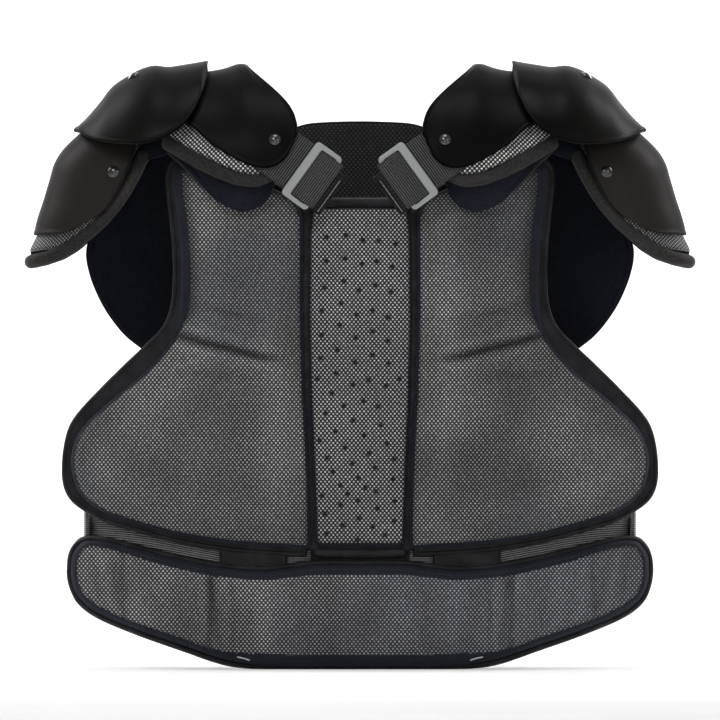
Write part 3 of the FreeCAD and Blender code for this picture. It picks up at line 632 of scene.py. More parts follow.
def mesh_cloth(name, dot, dark, dot2=None, pitch=(3.9, 4.6), fade=(0.45, 1.10), cloud=0.0,
               amount=1.0, bump=0.5):
    """Spacer mesh: bright knitted islands on a dark ground.

    fade is where an island starts and stops fading, cloud how patchy the tone is. dot2 is a
    second island colour, in patches.
    """
    g = Graph(name)
    u, v = g.uv()[:2]
    wobble = g.times(g.math("SUBTRACT", g.noise(scale=900.0, detail=1.0), 0.5), 0.35)
    dist = g.add(lattice(g, u, v, pitch), wobble)
    spot = g.step(dist, *fade, 1.0, 0.0)
    patches = g.noise(scale=9.0, detail=2.0, rough=0.45)
    tone = g.step(patches, 0.36, 0.66, 1.0 - cloud, 1.0 + cloud * 0.35)
    fine = g.noise(scale=420.0, detail=2.0, rough=0.6)
    tone = g.times(tone, g.step(fine, 0.3, 0.75, 0.62, 1.15))
    island = dot
    if dot2 is not None:
        island = g.mix(g.step(g.noise(scale=5.5, detail=1.0, rough=0.4), 0.48, 0.62), dot, dot2)
    colour = g.mix(g.times(spot, amount), dark, island)
    # the point attribute holds painted shade and painted highlights, with some plain tone; it
    # scales the brightness
    shade = g.node("ShaderNodeAttribute", attribute_name="shade", attribute_type="GEOMETRY")
    shaded = g.node("ShaderNodeHueSaturation")
    g.put(shaded.inputs["Value"], g.times(tone, shade.outputs["Fac"]))
    g.put(shaded.inputs["Color"], colour)
    return g.surface({
        "Base Color": shaded.outputs[0], "Roughness": 0.75, "Specular IOR Level": 0.25,
        "Sheen Weight": 0.12, "Sheen Roughness": 0.5,
        "Normal": g.bump(spot, strength=bump, distance=0.0007)})


def woven(name, colour, pitch, rough, sheen=0.1, spec=0.3, bump=0.3, vary=0.25):
    """Plain weave; pitch is the thread spacing and vary the range of its tone."""
    g = Graph(name)
    u, v = g.uv()[:2]
    weave = g.times(g.sine(u, pitch), g.sine(v, pitch))
    light = tuple(min(1.0, c * (1 + 1.6 * vary) + 0.004) for c in colour)
    dark = tuple(c * (1 - vary) for c in colour)
    tone = g.step(g.noise(scale=60.0, detail=3.0), 0.35, 0.7)
    height = g.add(g.times(weave, 0.6), g.noise(scale=1500.0))
    return g.surface({
        "Base Color": g.mix(tone, dark, light), "Roughness": rough,
        "Specular IOR Level": spec, "Sheen Weight": sheen,
        "Normal": g.bump(height, strength=bump, distance=0.0004)})


def brushed(name, colour, sheen, tint, rough=0.85, vary=0.3, scale=420.0, spec=0.15):
    """Short napped cloth; tint colours its sheen."""
    g = Graph(name)
    nap = g.noise(scale=scale, detail=4.0, rough=0.65)
    patches = g.noise(scale=14.0)
    light = tuple(c * (1 + 1.5 * vary) + 0.003 for c in colour)
    dark = tuple(c * (1 - vary) for c in colour)
    tone = g.add(g.times(g.step(nap, 0.3, 0.72), 0.7), g.times(g.step(patches, 0.35, 0.65), 0.3))
    return g.surface({
        "Base Color": g.mix(tone, dark, light), "Roughness": rough,
        "Specular IOR Level": spec, "Sheen Weight": sheen, "Sheen Roughness": 0.45,
        "Sheen Tint": (*tint, 1.0), "Normal": g.bump(nap, strength=0.35, distance=0.0004)})


def ribbed(name, colour, light, pitch, axis):
    """Ribbed webbing or elastic; the ribs repeat along one UV axis."""
    g = Graph(name)
    uv = g.uv()
    ribs = g.sine(uv[axis], pitch)
    cross = g.sine(uv[1 - axis], 1.1)
    fine = g.noise(scale=700.0)
    grain = g.step(g.add(fine, g.times(cross, 0.08)), 0.35, 0.7, 0.55, 1.0)
    tone = g.times(g.step(ribs, -0.2, 1.0), grain)
    height = g.add(g.times(cross, 0.25), fine)
    return g.surface({
        "Base Color": g.mix(tone, colour, light), "Roughness": 0.55,
        "Specular IOR Level": 0.2, "Sheen Weight": 0.03,
        "Normal": g.bump(height, strength=0.3, distance=0.0004)})


def plastic(name, colour, painted_side_highlight, rough, spec):
    """Moulded plate with a fine pebble grain, and a painted highlight of the side lights: lighter
    and browner far from the middle plane.
    """
    g = Graph(name)
    patches = g.noise(scale=7.0)
    # painted highlight: beyond about 0.16 m from the middle plane the plate blends to the lighter,
    # browner side colour
    side = g.step(g.math("ABSOLUTE", g.split(g.position())[0]), 0.16, 0.25)
    base = g.mix(g.times(side, 0.9), colour, painted_side_highlight)
    fine = g.noise(scale=1300.0, detail=2.0, rough=0.6)
    speck = tuple(c * 1.6 + 0.003 for c in colour)
    facing = g.node("ShaderNodeLayerWeight")
    facing.inputs["Blend"].default_value = 0.5
    return g.surface({
        "Base Color": g.mix(g.step(fine, 0.55, 0.8, 0.0, 0.35), base, speck),
        "Roughness": g.add(g.times(g.step(patches, 0.3, 0.7), 0.08), rough - 0.04),
        "Specular IOR Level": g.step(facing.outputs["Facing"], 0.25, 0.70, spec, spec * 0.12),
        "Normal": g.bump(fine, strength=0.35, distance=0.0003)})


def solid(name, colour, rough, metallic=0.0, spec=0.5, bump=0.0, scale=800.0, coat=0.0):
    g = Graph(name)
    fine = g.noise(scale=scale)
    dark = tuple(c * 0.85 for c in colour)
    if bump:
        g.surface({"Normal": g.bump(fine, strength=bump, distance=0.0003)})
    return g.surface({
        "Base Color": g.mix(g.step(fine, 0.3, 0.7), dark, colour), "Roughness": rough,
        "Metallic": metallic, "Specular IOR Level": spec, "Coat Weight": coat})


MATS = {
    "chest": mesh_cloth("mesh_chest", dot=(0.50, 0.50, 0.49), dot2=(0.34, 0.355, 0.39),
                        dark=(0.031, 0.031, 0.033), cloud=0.34, amount=0.95),
    "sternum": mesh_cloth("mesh_sternum", dot=(0.56, 0.56, 0.56), dark=(0.013, 0.013, 0.015),
                          fade=(0.55, 1.12), cloud=0.16, bump=0.7),
    "belly": mesh_cloth("mesh_belly", dot=(0.52, 0.52, 0.53), dot2=(0.32, 0.335, 0.38),
                        dark=(0.030, 0.030, 0.033), cloud=0.34, amount=0.95),
    "back": mesh_cloth("mesh_back", dot=(0.105, 0.105, 0.11), dark=(0.008, 0.008, 0.010),
                       pitch=(4.2, 5.0), fade=(0.6, 1.3), cloud=0.3, amount=0.9),
    "facing": mesh_cloth("mesh_facing", dot=(0.90, 0.90, 0.88), dark=(0.012, 0.012, 0.013),
                         pitch=(4.6, 4.6), fade=(0.70, 1.25), cloud=0.15, bump=0.6),
    "facing_fine": mesh_cloth("mesh_facing_fine", dot=(0.46, 0.46, 0.45),
                              dark=(0.012, 0.012, 0.013), pitch=(3.8, 3.8), fade=(0.40, 0.85),
                              cloud=0.15, bump=0.6),
    # a stock colour that no piece wears
    "vent": solid("vent_hole", (0.008, 0.008, 0.01), rough=0.9, spec=0.05),
    "foam": solid("foam", (0.022, 0.023, 0.027), rough=0.9, spec=0.1, bump=0.5, scale=900.0),
    "nylon": woven("nylon", (0.0060, 0.0063, 0.0078), pitch=0.9, rough=0.5, sheen=0.03,
                   spec=0.15, vary=0.3),
    "tricot_edge": solid("tricot_edge", (0.0042, 0.0050, 0.0085), rough=0.75, spec=0.06,
                         bump=0.15, scale=1500.0),
    "tricot": brushed("tricot", (0.0065, 0.0075, 0.0125), sheen=0.06, tint=(0.30, 0.38, 0.62),
                      spec=0.08),
    "navy": brushed("navy_wrap", (0.0085, 0.0095, 0.015), sheen=0.07, tint=(0.28, 0.36, 0.60),
                    rough=0.75),
    "binding": brushed("binding", (0.021, 0.020, 0.0195), sheen=0.12, tint=(0.55, 0.52, 0.48),
                       rough=0.9, vary=0.5, scale=520.0, spec=0.08),
    "tape": woven("binding_tape", (0.0055, 0.0058, 0.0070), pitch=0.7, rough=0.45, sheen=0.03,
                  spec=0.16, bump=0.35, vary=0.3),
    "webbing": ribbed("webbing", (0.008, 0.008, 0.009), light=(0.10, 0.10, 0.10), pitch=2.25,
                      axis=0),
    "webbing_plain": woven("webbing_plain", (0.02, 0.02, 0.022), pitch=1.1, rough=0.6),
    "elastic": ribbed("elastic", (0.010, 0.010, 0.011), light=(0.30, 0.30, 0.30), pitch=2.0,
                      axis=1),
    "plate": plastic("plate", (0.0018, 0.0018, 0.0018), painted_side_highlight=(0.0215, 0.0190, 0.0178),
                     rough=0.38, spec=0.045),
    "cap": plastic("plate_cap", (0.0018, 0.0017, 0.0017), painted_side_highlight=(0.0062, 0.0056, 0.0050),
                   rough=0.32, spec=0.055),
    "rivet": solid("rivet", (0.012, 0.012, 0.012), rough=0.16, spec=0.6, coat=0.4),
    "buckle": solid("buckle", (0.27, 0.285, 0.275), rough=0.42, metallic=0.35, bump=0.12,
                    scale=1500.0),
    "thread": solid("thread", (0.085, 0.085, 0.09), rough=0.7, spec=0.2),
    "painted_glint_grey": solid("painted_glint_grey", (0.42, 0.42, 0.43), rough=0.6, spec=0.2),
    "thread_dark": solid("thread_dark", (0.03, 0.03, 0.034), rough=0.7, spec=0.2),
}


# ================================================================ cloth simulation
INFLATE_FRAMES = 20


def inflate(outer, inner, edge, cap, pressure, seed, hold=0.0):
    """Blow a cover up over its foam; the border, the rear and the held points stay pinned.

    Returns how far each point of outer moved outwards, at most about cap millimetres.
    """
    rng = np.random.RandomState(seed)
    ni, nj = outer.shape[:2]
    count = ni * nj
    normal = grid_normals(outer)
    if (normal[ni // 2, nj // 2] * (outer - inner)[ni // 2, nj // 2]).sum() < 0:
        normal = -normal
    pinned = (edge < 4.0) | (np.asarray(hold) > 0.6)
    jitter = rng.uniform(-0.15, 0.15, (ni, nj)) * ~pinned
    start = outer + normal * jitter[..., None]
    faces = np.concatenate(two_sides(start, inner)[:2])
    used, faces = share_border(faces, border_ids(ni, nj), count)
    verts = np.concatenate([start.reshape(-1, 3), inner.reshape(-1, 3)])
    me = bpy.data.meshes.new("cloth_tmp")
    me.from_pydata((verts[used] * MM).tolist(), [], faces.tolist())
    me.update()
    ob = bpy.data.objects.new("cloth_tmp", me)
    bpy.context.scene.collection.objects.link(ob)
    group = ob.vertex_groups.new(name="pin")
    fixed = np.concatenate([pinned.reshape(-1), np.ones(count, bool)])[used]
    group.add([int(i) for i in np.nonzero(fixed)[0]], 1.0, "REPLACE")
    cloth = ob.modifiers.new("Cloth", "CLOTH")
    settings = cloth.settings
    settings.vertex_group_mass = "pin"
    settings.use_pressure = True
    settings.uniform_pressure_force = pressure
    settings.effector_weights.gravity = 0.0
    settings.quality = 6
    settings.mass = 0.25
    settings.tension_stiffness = 9
    settings.compression_stiffness = 5
    settings.shear_stiffness = 4
    settings.bending_stiffness = 0.35
    cloth.collision_settings.use_collision = False
    scene = bpy.context.scene
    scene.frame_start, scene.frame_end = 1, INFLATE_FRAMES
    for f in range(1, INFLATE_FRAMES + 1):
        scene.frame_set(f)
    result = ob.evaluated_get(bpy.context.evaluated_depsgraph_get()).data
    coords = np.zeros(len(result.vertices) * 3)
    result.vertices.foreach_get("co", coords)
    verts[used] = coords.reshape(-1, 3) / MM
    moved = ((verts[:count].reshape(ni, nj, 3) - outer) * normal).sum(-1)
    bpy.data.objects.remove(ob)
    bpy.data.meshes.remove(me)
    scene.frame_set(1)
    moved = np.nan_to_num(moved, nan=0.0)
    top = max(1e-6, np.percentile(moved, 99.0))
    if top > cap:
        moved = moved * (cap / top)
    return np.clip(moved, -1.0, cap * 1.1)


# ================================================================ chest panels
# Outlines of the panel at +X, as (x, z). Each has four parts: the lower edge (from the outer
# end inwards), the top edge (outwards), the inner edge (upwards), the outer edge (downwards).
CHEST_LOW = [(239.4, 144.9), (204.3, 134.3), (170.1, 125.8), (123.5, 118.6), (77.9, 115.0),
             (47.0, 113.2)]
CHEST_TOP = [(54.0, 428.0), (62.0, 444.0), (80.0, 455.0), (100.0, 463.0), (125.0, 470.0),
             (150.0, 477.0), (171.5, 482.0)]
CHEST_INNER = [(47.0, 113.2), (48.6, 191.9), (52.0, 256.5), (54.0, 334.4), (54.0, 428.0)]
CHEST_OUTER = [(171.5, 482.0), (177.2, 475.0), (178.0, 461.0), (174.8, 435.1), (171.2, 401.9),
               (170.2, 368.6), (172.0, 339.2), (177.0, 316.0), (188.8, 298.0), (211.9, 275.5),
               (239.4, 252.6), (263.0, 229.9), (272.8, 211.8), (275.3, 191.9), (270.0, 171.0),
               (257.5, 155.8), (239.4, 144.9)]
# The flat board behind the panel
BOARD_LOW = [(244.7, 139.0), (205.0, 127.5), (170.1, 118.8), (123.5, 111.2), (77.9, 107.8),
             (51.0, 106.4)]
BOARD_TOP = [(51.0, 428.0), (60.0, 447.0), (79.0, 459.0), (100.0, 467.0), (125.0, 474.0),
             (150.0, 481.0), (174.0, 486.0)]
BOARD_INNER = [(51.0, 106.4), (51.0, 250.0), (51.0, 428.0)]
BOARD_OUTER = [(174.0, 486.0), (183.0, 477.0), (184.2, 461.0), (181.5, 435.1), (178.0, 401.9),
               (177.0, 368.6), (179.5, 342.0), (187.5, 323.0), (205.5, 304.8), (227.4, 284.0),
               (250.5, 261.1), (271.2, 238.0), (279.5, 219.6), (283.0, 196.7), (282.6, 175.8),
               (275.5, 159.6), (262.2, 149.4), (244.7, 139.0)]
# Lines (x, z) where the cover is drawn in: one deep crease and a faint one above and below it
CREASE = [(178.0, 318.0), (150.0, 310.5), (123.5, 304.5), (104.0, 299.0), (87.4, 295.0),
          (74.0, 294.0), (60.0, 293.0)]
CREASE_ABOVE = [(168.0, 352.0), (140.0, 340.0), (110.0, 332.0), (84.0, 331.0)]
CREASE_BELOW = [(196.0, 270.0), (168.0, 278.0), (136.0, 279.0), (100.0, 272.0)]
PANEL_BASE = 4.6        # depth of the rear of the chest and sternum panels
PANEL_SEAM = 5.0        # depth of their front edge


def panel_curves(low, top, inner, outer):
    """The four smooth edges, lower and top running outwards, inner and outer upwards."""
    return spline(low[::-1], 300), spline(top, 300), spline(inner, 300), spline(outer[::-1], 400)


def panel_outline(low, top, inner, outer):
    return np.concatenate([low, outer[1:], top[::-1][1:], inner[::-1][1:]])


CHEST_CURVES = panel_curves(CHEST_LOW, CHEST_TOP, CHEST_INNER, CHEST_OUTER)
CHEST_OUTLINE = panel_outline(*CHEST_CURVES)
BOARD_CURVES = panel_curves(BOARD_LOW, BOARD_TOP, BOARD_INNER, BOARD_OUTER)
BOARD_OUTLINE = panel_outline(*BOARD_CURVES)


def inflate_chest():
    xz = coons(*CHEST_CURVES, 34, 56, bias=0.7)
    edge = edge_distance(xz, CHEST_OUTLINE)
    crease, along = line_dist(xz, CREASE)
    depth = PANEL_SEAM + 12.6 * profile(edge, 10.5) - 1.6 * bell(crease, 6.0) * (1 - along) ** 0.6
    hold = np.where(crease < 5.0, 1 - along * 0.8, 0.0)
    hold = np.maximum(hold, smooth((xz[..., 1] - 425.0) / 20.0))
    return inflate(on_front(xz, depth), on_front(xz, PANEL_BASE), edge, cap=5.5, pressure=5.0,
                   seed=3, hold=hold)


chest_puff = inflate_chest()


def chest_panel(name, sign):
    ni, nj = 110, 190
    xz = coons(*CHEST_CURVES, ni, nj, bias=0.7)
    x, z = xz[..., 0], xz[..., 1]
    edge = edge_distance(xz, CHEST_OUTLINE)
    crease, along = line_dist(np.stack([x, z + 1.3 * wave(x, z, 5)], -1), CREASE)
    wavy = np.stack([x, z + 1.6 * wave(x, z, 6)], -1)
    above, above_along = line_dist(wavy, CREASE_ABOVE)
    below, below_along = line_dist(wavy, CREASE_BELOW)
    keep = smooth((1.0 - along) / 0.35)             # the deep crease dies out inwards
    above_mid = np.sin(math.pi * np.clip(above_along, 0, 1))
    below_mid = np.sin(math.pi * np.clip(below_along, 0, 1))
    arm = smooth((z - 312.0) / 30.0) * smooth((x - 110.0) / 30.0)   # beside the armhole
    seam = 3.2 + 5.8 * arm                          # width of the side wall

    depth = PANEL_SEAM + 12.8 * profile(edge, 9.0 + 3.0 * arm) + lift_grid(ni, nj, chest_puff)
    # each crease is a groove with a swelling beside it
    depth += (-4.6 * bell(crease, 3.6) + 1.6 * bell(crease - 10.0, 5.5)) * keep
    depth += (-2.0 * bell(above, 4.0) + 0.6 * bell(above - 9.0, 5.0)) * above_mid ** 0.6
    depth += (-1.8 * bell(below, 4.5) + 0.5 * bell(below - 9.0, 5.0)) * below_mid ** 0.6
    depth -= 0.8 * bell(edge - seam - 0.8, 1.3)     # seam between side wall and mesh face
    depth += 0.55 * wave(x * 2.2, z * 2.2, 1 if sign > 0 else 2) * smooth(edge / 14)

    # painted shade in the three creases, and a painted highlight on the swelling beside the deep
    # one
    shade = 1.0 - 0.86 * bell(crease, 3.4) * keep + 0.30 * bell(crease - 9.5, 4.0) * keep
    shade -= 0.34 * bell(above, 3.6) * above_mid + 0.26 * bell(below, 4.5) * below_mid
    # painted highlight in a band about 30 mm in from the edge; the wave adds random tone
    shade *= 0.86 + 0.22 * bell(edge - 30.0, 14.0) + 0.10 * wave(x * 1.4, z * 1.4, 8)
    # painted shade fading in towards the side wall, widest beside the armhole
    shade *= 0.30 + 0.70 * smooth((edge - seam + 2.0) / (5.0 + 9.0 * arm))
    return cushion(name, on_front, xz, depth, PANEL_BASE,
                   [MATS["chest"], MATS["navy"], MATS["nylon"]],
                   cell_mean(edge) < cell_mean(seam), shade, sign)


def chest_board(name, sign):
    xz = coons(*BOARD_CURVES, 60, 110, bias=0.7)
    depth = 1.2 + 2.7 * profile(edge_distance(xz, BOARD_OUTLINE), 4.0)
    return slab(name, on_front, xz, depth, 0.0, MATS["nylon"], sign)


def chest_binding(name, sign):
    path = on_front(inset_loop(BOARD_OUTLINE, 1.6, 420), 2.2)
    return tube(name, mirrored(path, sign), 2.7, MATS["tape"], seg=10, up=FRONT, flat=1.05,
                loop=True, wobble=0.05)


pair("chest_panel", chest_panel, "chest", ["chest_cover", "chest_foam"])
pair("chest_board", chest_board, "chest", ["chest_backing"])
pair("chest_binding", chest_binding, "chest", [])

# ================================================================ sternum panel
STERNUM_LOW, STERNUM_TOP = 116.5, 438.5
# half width and z, upwards, between the rounded ends
STERNUM_HALF = np.array([(42.6, 121.0), (44.6, 191.9), (47.6, 256.5), (49.4, 334.4),
                         (48.6, 411.0), (46.7, 429.0), (45.0, 434.5)])
# Centres (x, z) of the small dimples in the face
VENTS = [
    (-13.3, 410.9), (-32.3, 409.4), (2.8, 406.0), (17.5, 405.6), (33.9, 403.0), (-14.2, 389.1),
    (-32.3, 386.6), (16.1, 386.1), (1.9, 383.8), (30.4, 381.2), (-15.4, 367.3), (14.5, 363.7),
    (-34.2, 361.2), (-1.2, 358.8), (29.3, 357.6), (-18.0, 346.1), (11.9, 339.2), (-36.4, 339.2),
    (-3.0, 335.3), (26.9, 333.0), (-19.1, 325.4), (11.9, 319.7), (-36.4, 316.2), (-4.2, 313.9),
    (26.9, 310.5), (-21.4, 302.4), (11.9, 297.1), (-37.5, 294.4), (-4.9, 290.2), (26.9, 289.3),
    (-22.6, 279.9), (-40.5, 274.8), (37.5, 274.8), (8.0, 273.6), (-7.2, 269.0), (24.6, 267.9),
    (-26.7, 261.0), (3.2, 253.4), (-15.2, 249.0), (17.2, 248.3), (-32.5, 241.9), (-6.5, 235.2),
    (20.0, 231.1), (-23.3, 224.6), (3.9, 221.2), (-38.2, 216.1), (25.8, 213.1), (-14.5, 209.6),
    (8.5, 204.1), (-31.1, 199.5), (32.7, 198.4), (-7.2, 194.2), (14.7, 190.3), (-26.0, 186.6),
    (-1.4, 180.4), (31.5, 179.3), (-18.7, 173.5), (5.0, 171.2), (15.4, 167.7), (-11.8, 165.4),
    (-35.9, 163.6), (-1.9, 159.5), (32.7, 158.5), (-18.4, 155.1), (16.6, 151.6), (-33.4, 146.6),
    (-1.4, 142.4), (32.2, 139.7), (-16.1, 135.5), (11.9, 134.4), (-31.8, 127.5), (23.5, 126.3),
    (-3.0, 121.7),
]


def sternum_grid(ni, nj):
    z = STERNUM_LOW + (STERNUM_TOP - STERNUM_LOW) * cluster(nj, 0.12)
    half = np.interp(z, STERNUM_HALF[:, 1], STERNUM_HALF[:, 0])
    low = smooth((z - STERNUM_LOW) / 5.0) ** 0.5
    half = np.where(z < 121, 38.0 + 4.4 * low, half)
    top = np.clip((STERNUM_TOP - z) / 9.0, 0, 1)
    rounded = 38.5 + 8.1 * np.sqrt(np.clip(1 - (1 - top) ** 2, 0, 1))
    half = np.where(z > 429.5, rounded, half)
    u = cluster(ni, 0.35) * 2 - 1
    return np.stack([u[:, None] * half[None], np.broadcast_to(z[None], (ni, nj))], -1)


STERNUM_OUTLINE = grid_rim(sternum_grid(30, 160))


def sternum_depth(edge):
    return PANEL_SEAM + 8.6 * profile(edge, 7.5)


def inflate_sternum():
    xz = sternum_grid(17, 60)
    edge = edge_distance(xz, STERNUM_OUTLINE)
    return inflate(on_front(xz, sternum_depth(edge)), on_front(xz, PANEL_BASE), edge, cap=2.6,
                   pressure=3.0, seed=5)


def sternum_panel(name, puff):
    ni, nj = 96, 300
    xz = sternum_grid(ni, nj)
    x, z = xz[..., 0], xz[..., 1]
    edge = edge_distance(xz, STERNUM_OUTLINE)
    vent = np.full(x.shape, 1e9)
    for vent_x, vent_z in VENTS:
        vent = np.minimum(vent, np.hypot(x - vent_x, z - vent_z))
    depth = sternum_depth(edge) + lift_grid(ni, nj, puff)
    depth -= 2.0 * bell(vent, 2.5) * smooth(edge / 5.0)
    depth -= 0.5 * bell(edge - 6.2, 1.0)            # shallow line inside the edge
    depth += 0.25 * wave(x * 3, z * 3, 9) * smooth(edge / 10)
    # painted shade in the dimples and along the rounded edge
    shade = 1.0 - 0.95 * smooth((3.3 - vent) / 1.7)
    shade *= 0.18 + 0.82 * smooth((edge - 1.4) / 3.0)
    return cushion(name, on_front, xz, depth, PANEL_BASE,
                   [MATS["sternum"], MATS["navy"], MATS["nylon"]], cell_mean(edge) < 2.2, shade)


def sternum_board(name):
    u, v = unit_grid(24, 80)
    z = 103.4 + (446.0 - 103.4) * v
    half = 45.5 - 7.0 * np.clip((z - STERNUM_TOP) / 7.5, 0, 1) ** 1.5
    return slab(name, on_front, np.stack([(2 * u - 1) * half, z], -1), 4.0, 0.2, MATS["nylon"])


add(sternum_panel("sternum_panel", inflate_sternum()), "sternum",
    ["sternum_cover", "sternum_foam"])
add(sternum_board("sternum_board"), "sternum", ["sternum_backing"])

STERNUM_TOP_EDGE = np.array([(-44.6, 436.6), (-42.4, 440.6), (-36.0, 441.9), (-18.0, 442.1),
                             (0.0, 442.1), (18.0, 442.1), (36.0, 441.9), (42.4, 440.6),
                             (44.6, 436.6)])
STERNUM_LOW_EDGE = [(-44.0, 110.0), (-20.0, 109.2), (0.0, 109.0), (20.0, 109.2), (44.0, 110.0)]
add(tube("sternum_top_binding", on_front(spline(STERNUM_TOP_EDGE, 90), 6.2), 4.6, MATS["tape"],
         seg=14, up=FRONT, flat=1.15, wobble=0.03), "sternum", [])
add(stitches("sternum_top_stitch", on_front(spline(STERNUM_TOP_EDGE + [0, -3.3], 90), 10.9),
             FRONT, MATS["thread_dark"], length=2.4, gap=1.4, radius=0.32),
    "sternum", [])
add(tube("sternum_low_binding", on_front(spline(STERNUM_LOW_EDGE, 60), 4.6), 4.2, MATS["tape"],
         seg=12, up=FRONT, flat=0.8, wobble=0.03), "sternum", [])

# x of a gusset's two edges at the given z
GUSSET_INNER = ([116, 192, 256, 334, 411, 433], [40.5, 42.5, 45.5, 47.0, 46.5, 44.0])
GUSSET_OUTER = ([113, 192, 256, 334, 428], [50.5, 52.0, 55.5, 57.5, 58.5])


def front_gusset(name, sign):
    """Dark strip of cloth between the sternum and a chest panel."""
    u, v = unit_grid(18, 90)
    z = 112.0 + (433.0 - 112.0) * v
    inner = np.interp(z, *GUSSET_INNER)
    x = inner + (np.interp(z, *GUSSET_OUTER) - inner) * u
    bulge = np.sin(np.clip((x - inner) / 11.0, 0, 1) * math.pi)
    return slab(name, on_front, np.stack([x, z], -1), 5.3 + bulge, 4.1 + bulge, MATS["nylon"],
                sign)


for side, sign in SIDES:
    add(front_gusset("front_gusset_" + side, sign), "sternum", [])

# ================================================================ belly pad
# Half outlines (x, z) from the middle outwards: the pad, then the board behind it
BELLY_TOP = np.array([
    (0.0, 98.0), (40.0, 98.0), (70.4, 94.5), (94.0, 92.5), (132.0, 95.5), (176.0, 104.0),
    (222.0, 115.0), (247.0, 120.5), (262.5, 120.2), (270.5, 113.4), (274.6, 104.5),
    (275.9, 91.5)])
BELLY_LOW = np.array([
    (0.0, 1.5), (48.7, 1.5), (85.5, 2.0), (112.4, 4.6), (135.9, 9.8), (170.5, 21.6),
    (212.3, 35.8), (248.6, 51.0), (267.0, 65.0), (274.0, 79.0), (275.9, 91.5)])
BRIM_TOP = [(0.0, 101.6), (40.0, 101.6), (70.4, 98.2), (94.0, 96.2), (132.0, 99.0),
            (176.0, 107.5), (222.0, 118.5), (247.0, 123.8), (264.5, 123.2), (273.6, 115.4),
            (278.0, 105.5), (279.2, 91.5)]
BRIM_LOW = [(0.0, 0.0), (48.7, 0.0), (85.5, 0.0), (112.4, 0.9), (135.9, 5.2), (170.5, 17.0),
            (212.8, 31.8), (250.0, 47.4), (269.2, 61.6), (277.0, 77.5), (279.2, 91.5)]
# Upright folds: x, width, depth
FOLDS = [(142.5, 3.4, 3.2), (121.5, 2.2, 1.5), (223.0, 2.8, 1.8), (-143.5, 3.4, 3.2),
         (-122.0, 2.2, 1.4), (-224.0, 2.8, 2.0)]
# Soft ridges and hollows of the mesh cover, with painted highlights on the ridges and painted
# shade in the hollows: x at mid height, width, amount, lean
RIPPLES = [
    (-247.0, 5.0, -0.30, 0.10), (-238.0, 6.0, 0.34, 0.12), (-229.0, 4.0, -0.34, 0.14),
    (-214.0, 8.0, 0.20, 0.10), (-186.0, 8.0, 0.22, 0.05), (-171.0, 7.0, -0.16, 0.05),
    (-148.0, 4.5, 0.42, 0.10), (-140.5, 3.2, -0.50, 0.10), (-127.0, 5.0, 0.20, 0.06),
    (-93.0, 8.0, 0.22, 0.03), (-70.0, 9.0, -0.12, 0.0), (-40.0, 8.0, 0.12, 0.0),
    (-12.0, 9.0, 0.18, -0.02), (14.0, 8.0, -0.12, 0.0), (38.0, 9.0, 0.15, 0.02),
    (62.0, 7.0, -0.14, 0.0), (92.0, 8.0, 0.24, -0.05), (110.0, 6.0, -0.14, -0.05),
    (129.0, 5.0, 0.22, -0.06), (139.0, 3.2, -0.50, -0.10), (147.0, 4.5, 0.40, -0.10),
    (172.0, 7.0, -0.14, -0.05), (188.0, 8.0, 0.22, -0.06), (212.0, 7.0, 0.20, -0.10),
    (228.0, 4.0, -0.34, -0.14), (237.0, 6.0, 0.32, -0.12), (247.0, 5.0, -0.26, -0.10)]
BELLY_SEAM, BELLY_BASE = 4.0, 3.6       # depth of the front edge and of the rear

BELLY_TOP_FULL, BELLY_LOW_FULL = half_to_full(BELLY_TOP), half_to_full(BELLY_LOW)
BRIM_TOP_FULL, BRIM_LOW_FULL = half_to_full(BRIM_TOP), half_to_full(BRIM_LOW)


def band_outline(low, top, count):
    return np.concatenate([spline(low, count), spline(top, count)[::-1][1:-1]])


BELLY_OUTLINE = band_outline(BELLY_LOW_FULL, BELLY_TOP_FULL, 400)


def belly_folds(x, z):
    total = np.zeros(x.shape)
    for k, (fold_x, width, depth) in enumerate(FOLDS):
        sway = 2.1 * np.sin((z - 20) / 30.0 + k) * (1 if fold_x > 0 else -1)
        total = total + depth * bell(x - fold_x - sway, width)
    return total


def belly_ripples(x, z, edge):
    total = np.zeros(x.shape)
    for k, (ripple_x, width, amount, lean) in enumerate(RIPPLES):
        centre = ripple_x - lean * (z - 62.0) * 1.4 + 1.6 * np.sin((z - 20.0) / 17.0 + k * 1.7)
        strength = 0.75 + 0.25 * np.sin(z / 19.0 + k * 2.1)
        total = total + amount * bell(x - centre, width) * strength
    return total * smooth((edge - 6.0) / 12.0)


def inflate_belly():
    xz = band_grid(BELLY_TOP_FULL, BELLY_LOW_FULL, 90, 17, bias=0.75)
    edge = edge_distance(xz, BELLY_OUTLINE)
    hold = np.zeros(edge.shape)
    for fold_x, _, depth in FOLDS:
        if depth > 1.6:
            hold = np.maximum(hold, (np.abs(xz[..., 0] - fold_x) < 3.2) * 1.0)
    depth = BELLY_SEAM + 11.6 * profile(edge, 10.0)
    return inflate(on_front(xz, depth), on_front(xz, BELLY_BASE), edge, cap=4.5, pressure=10.0,
                   seed=7, hold=hold)


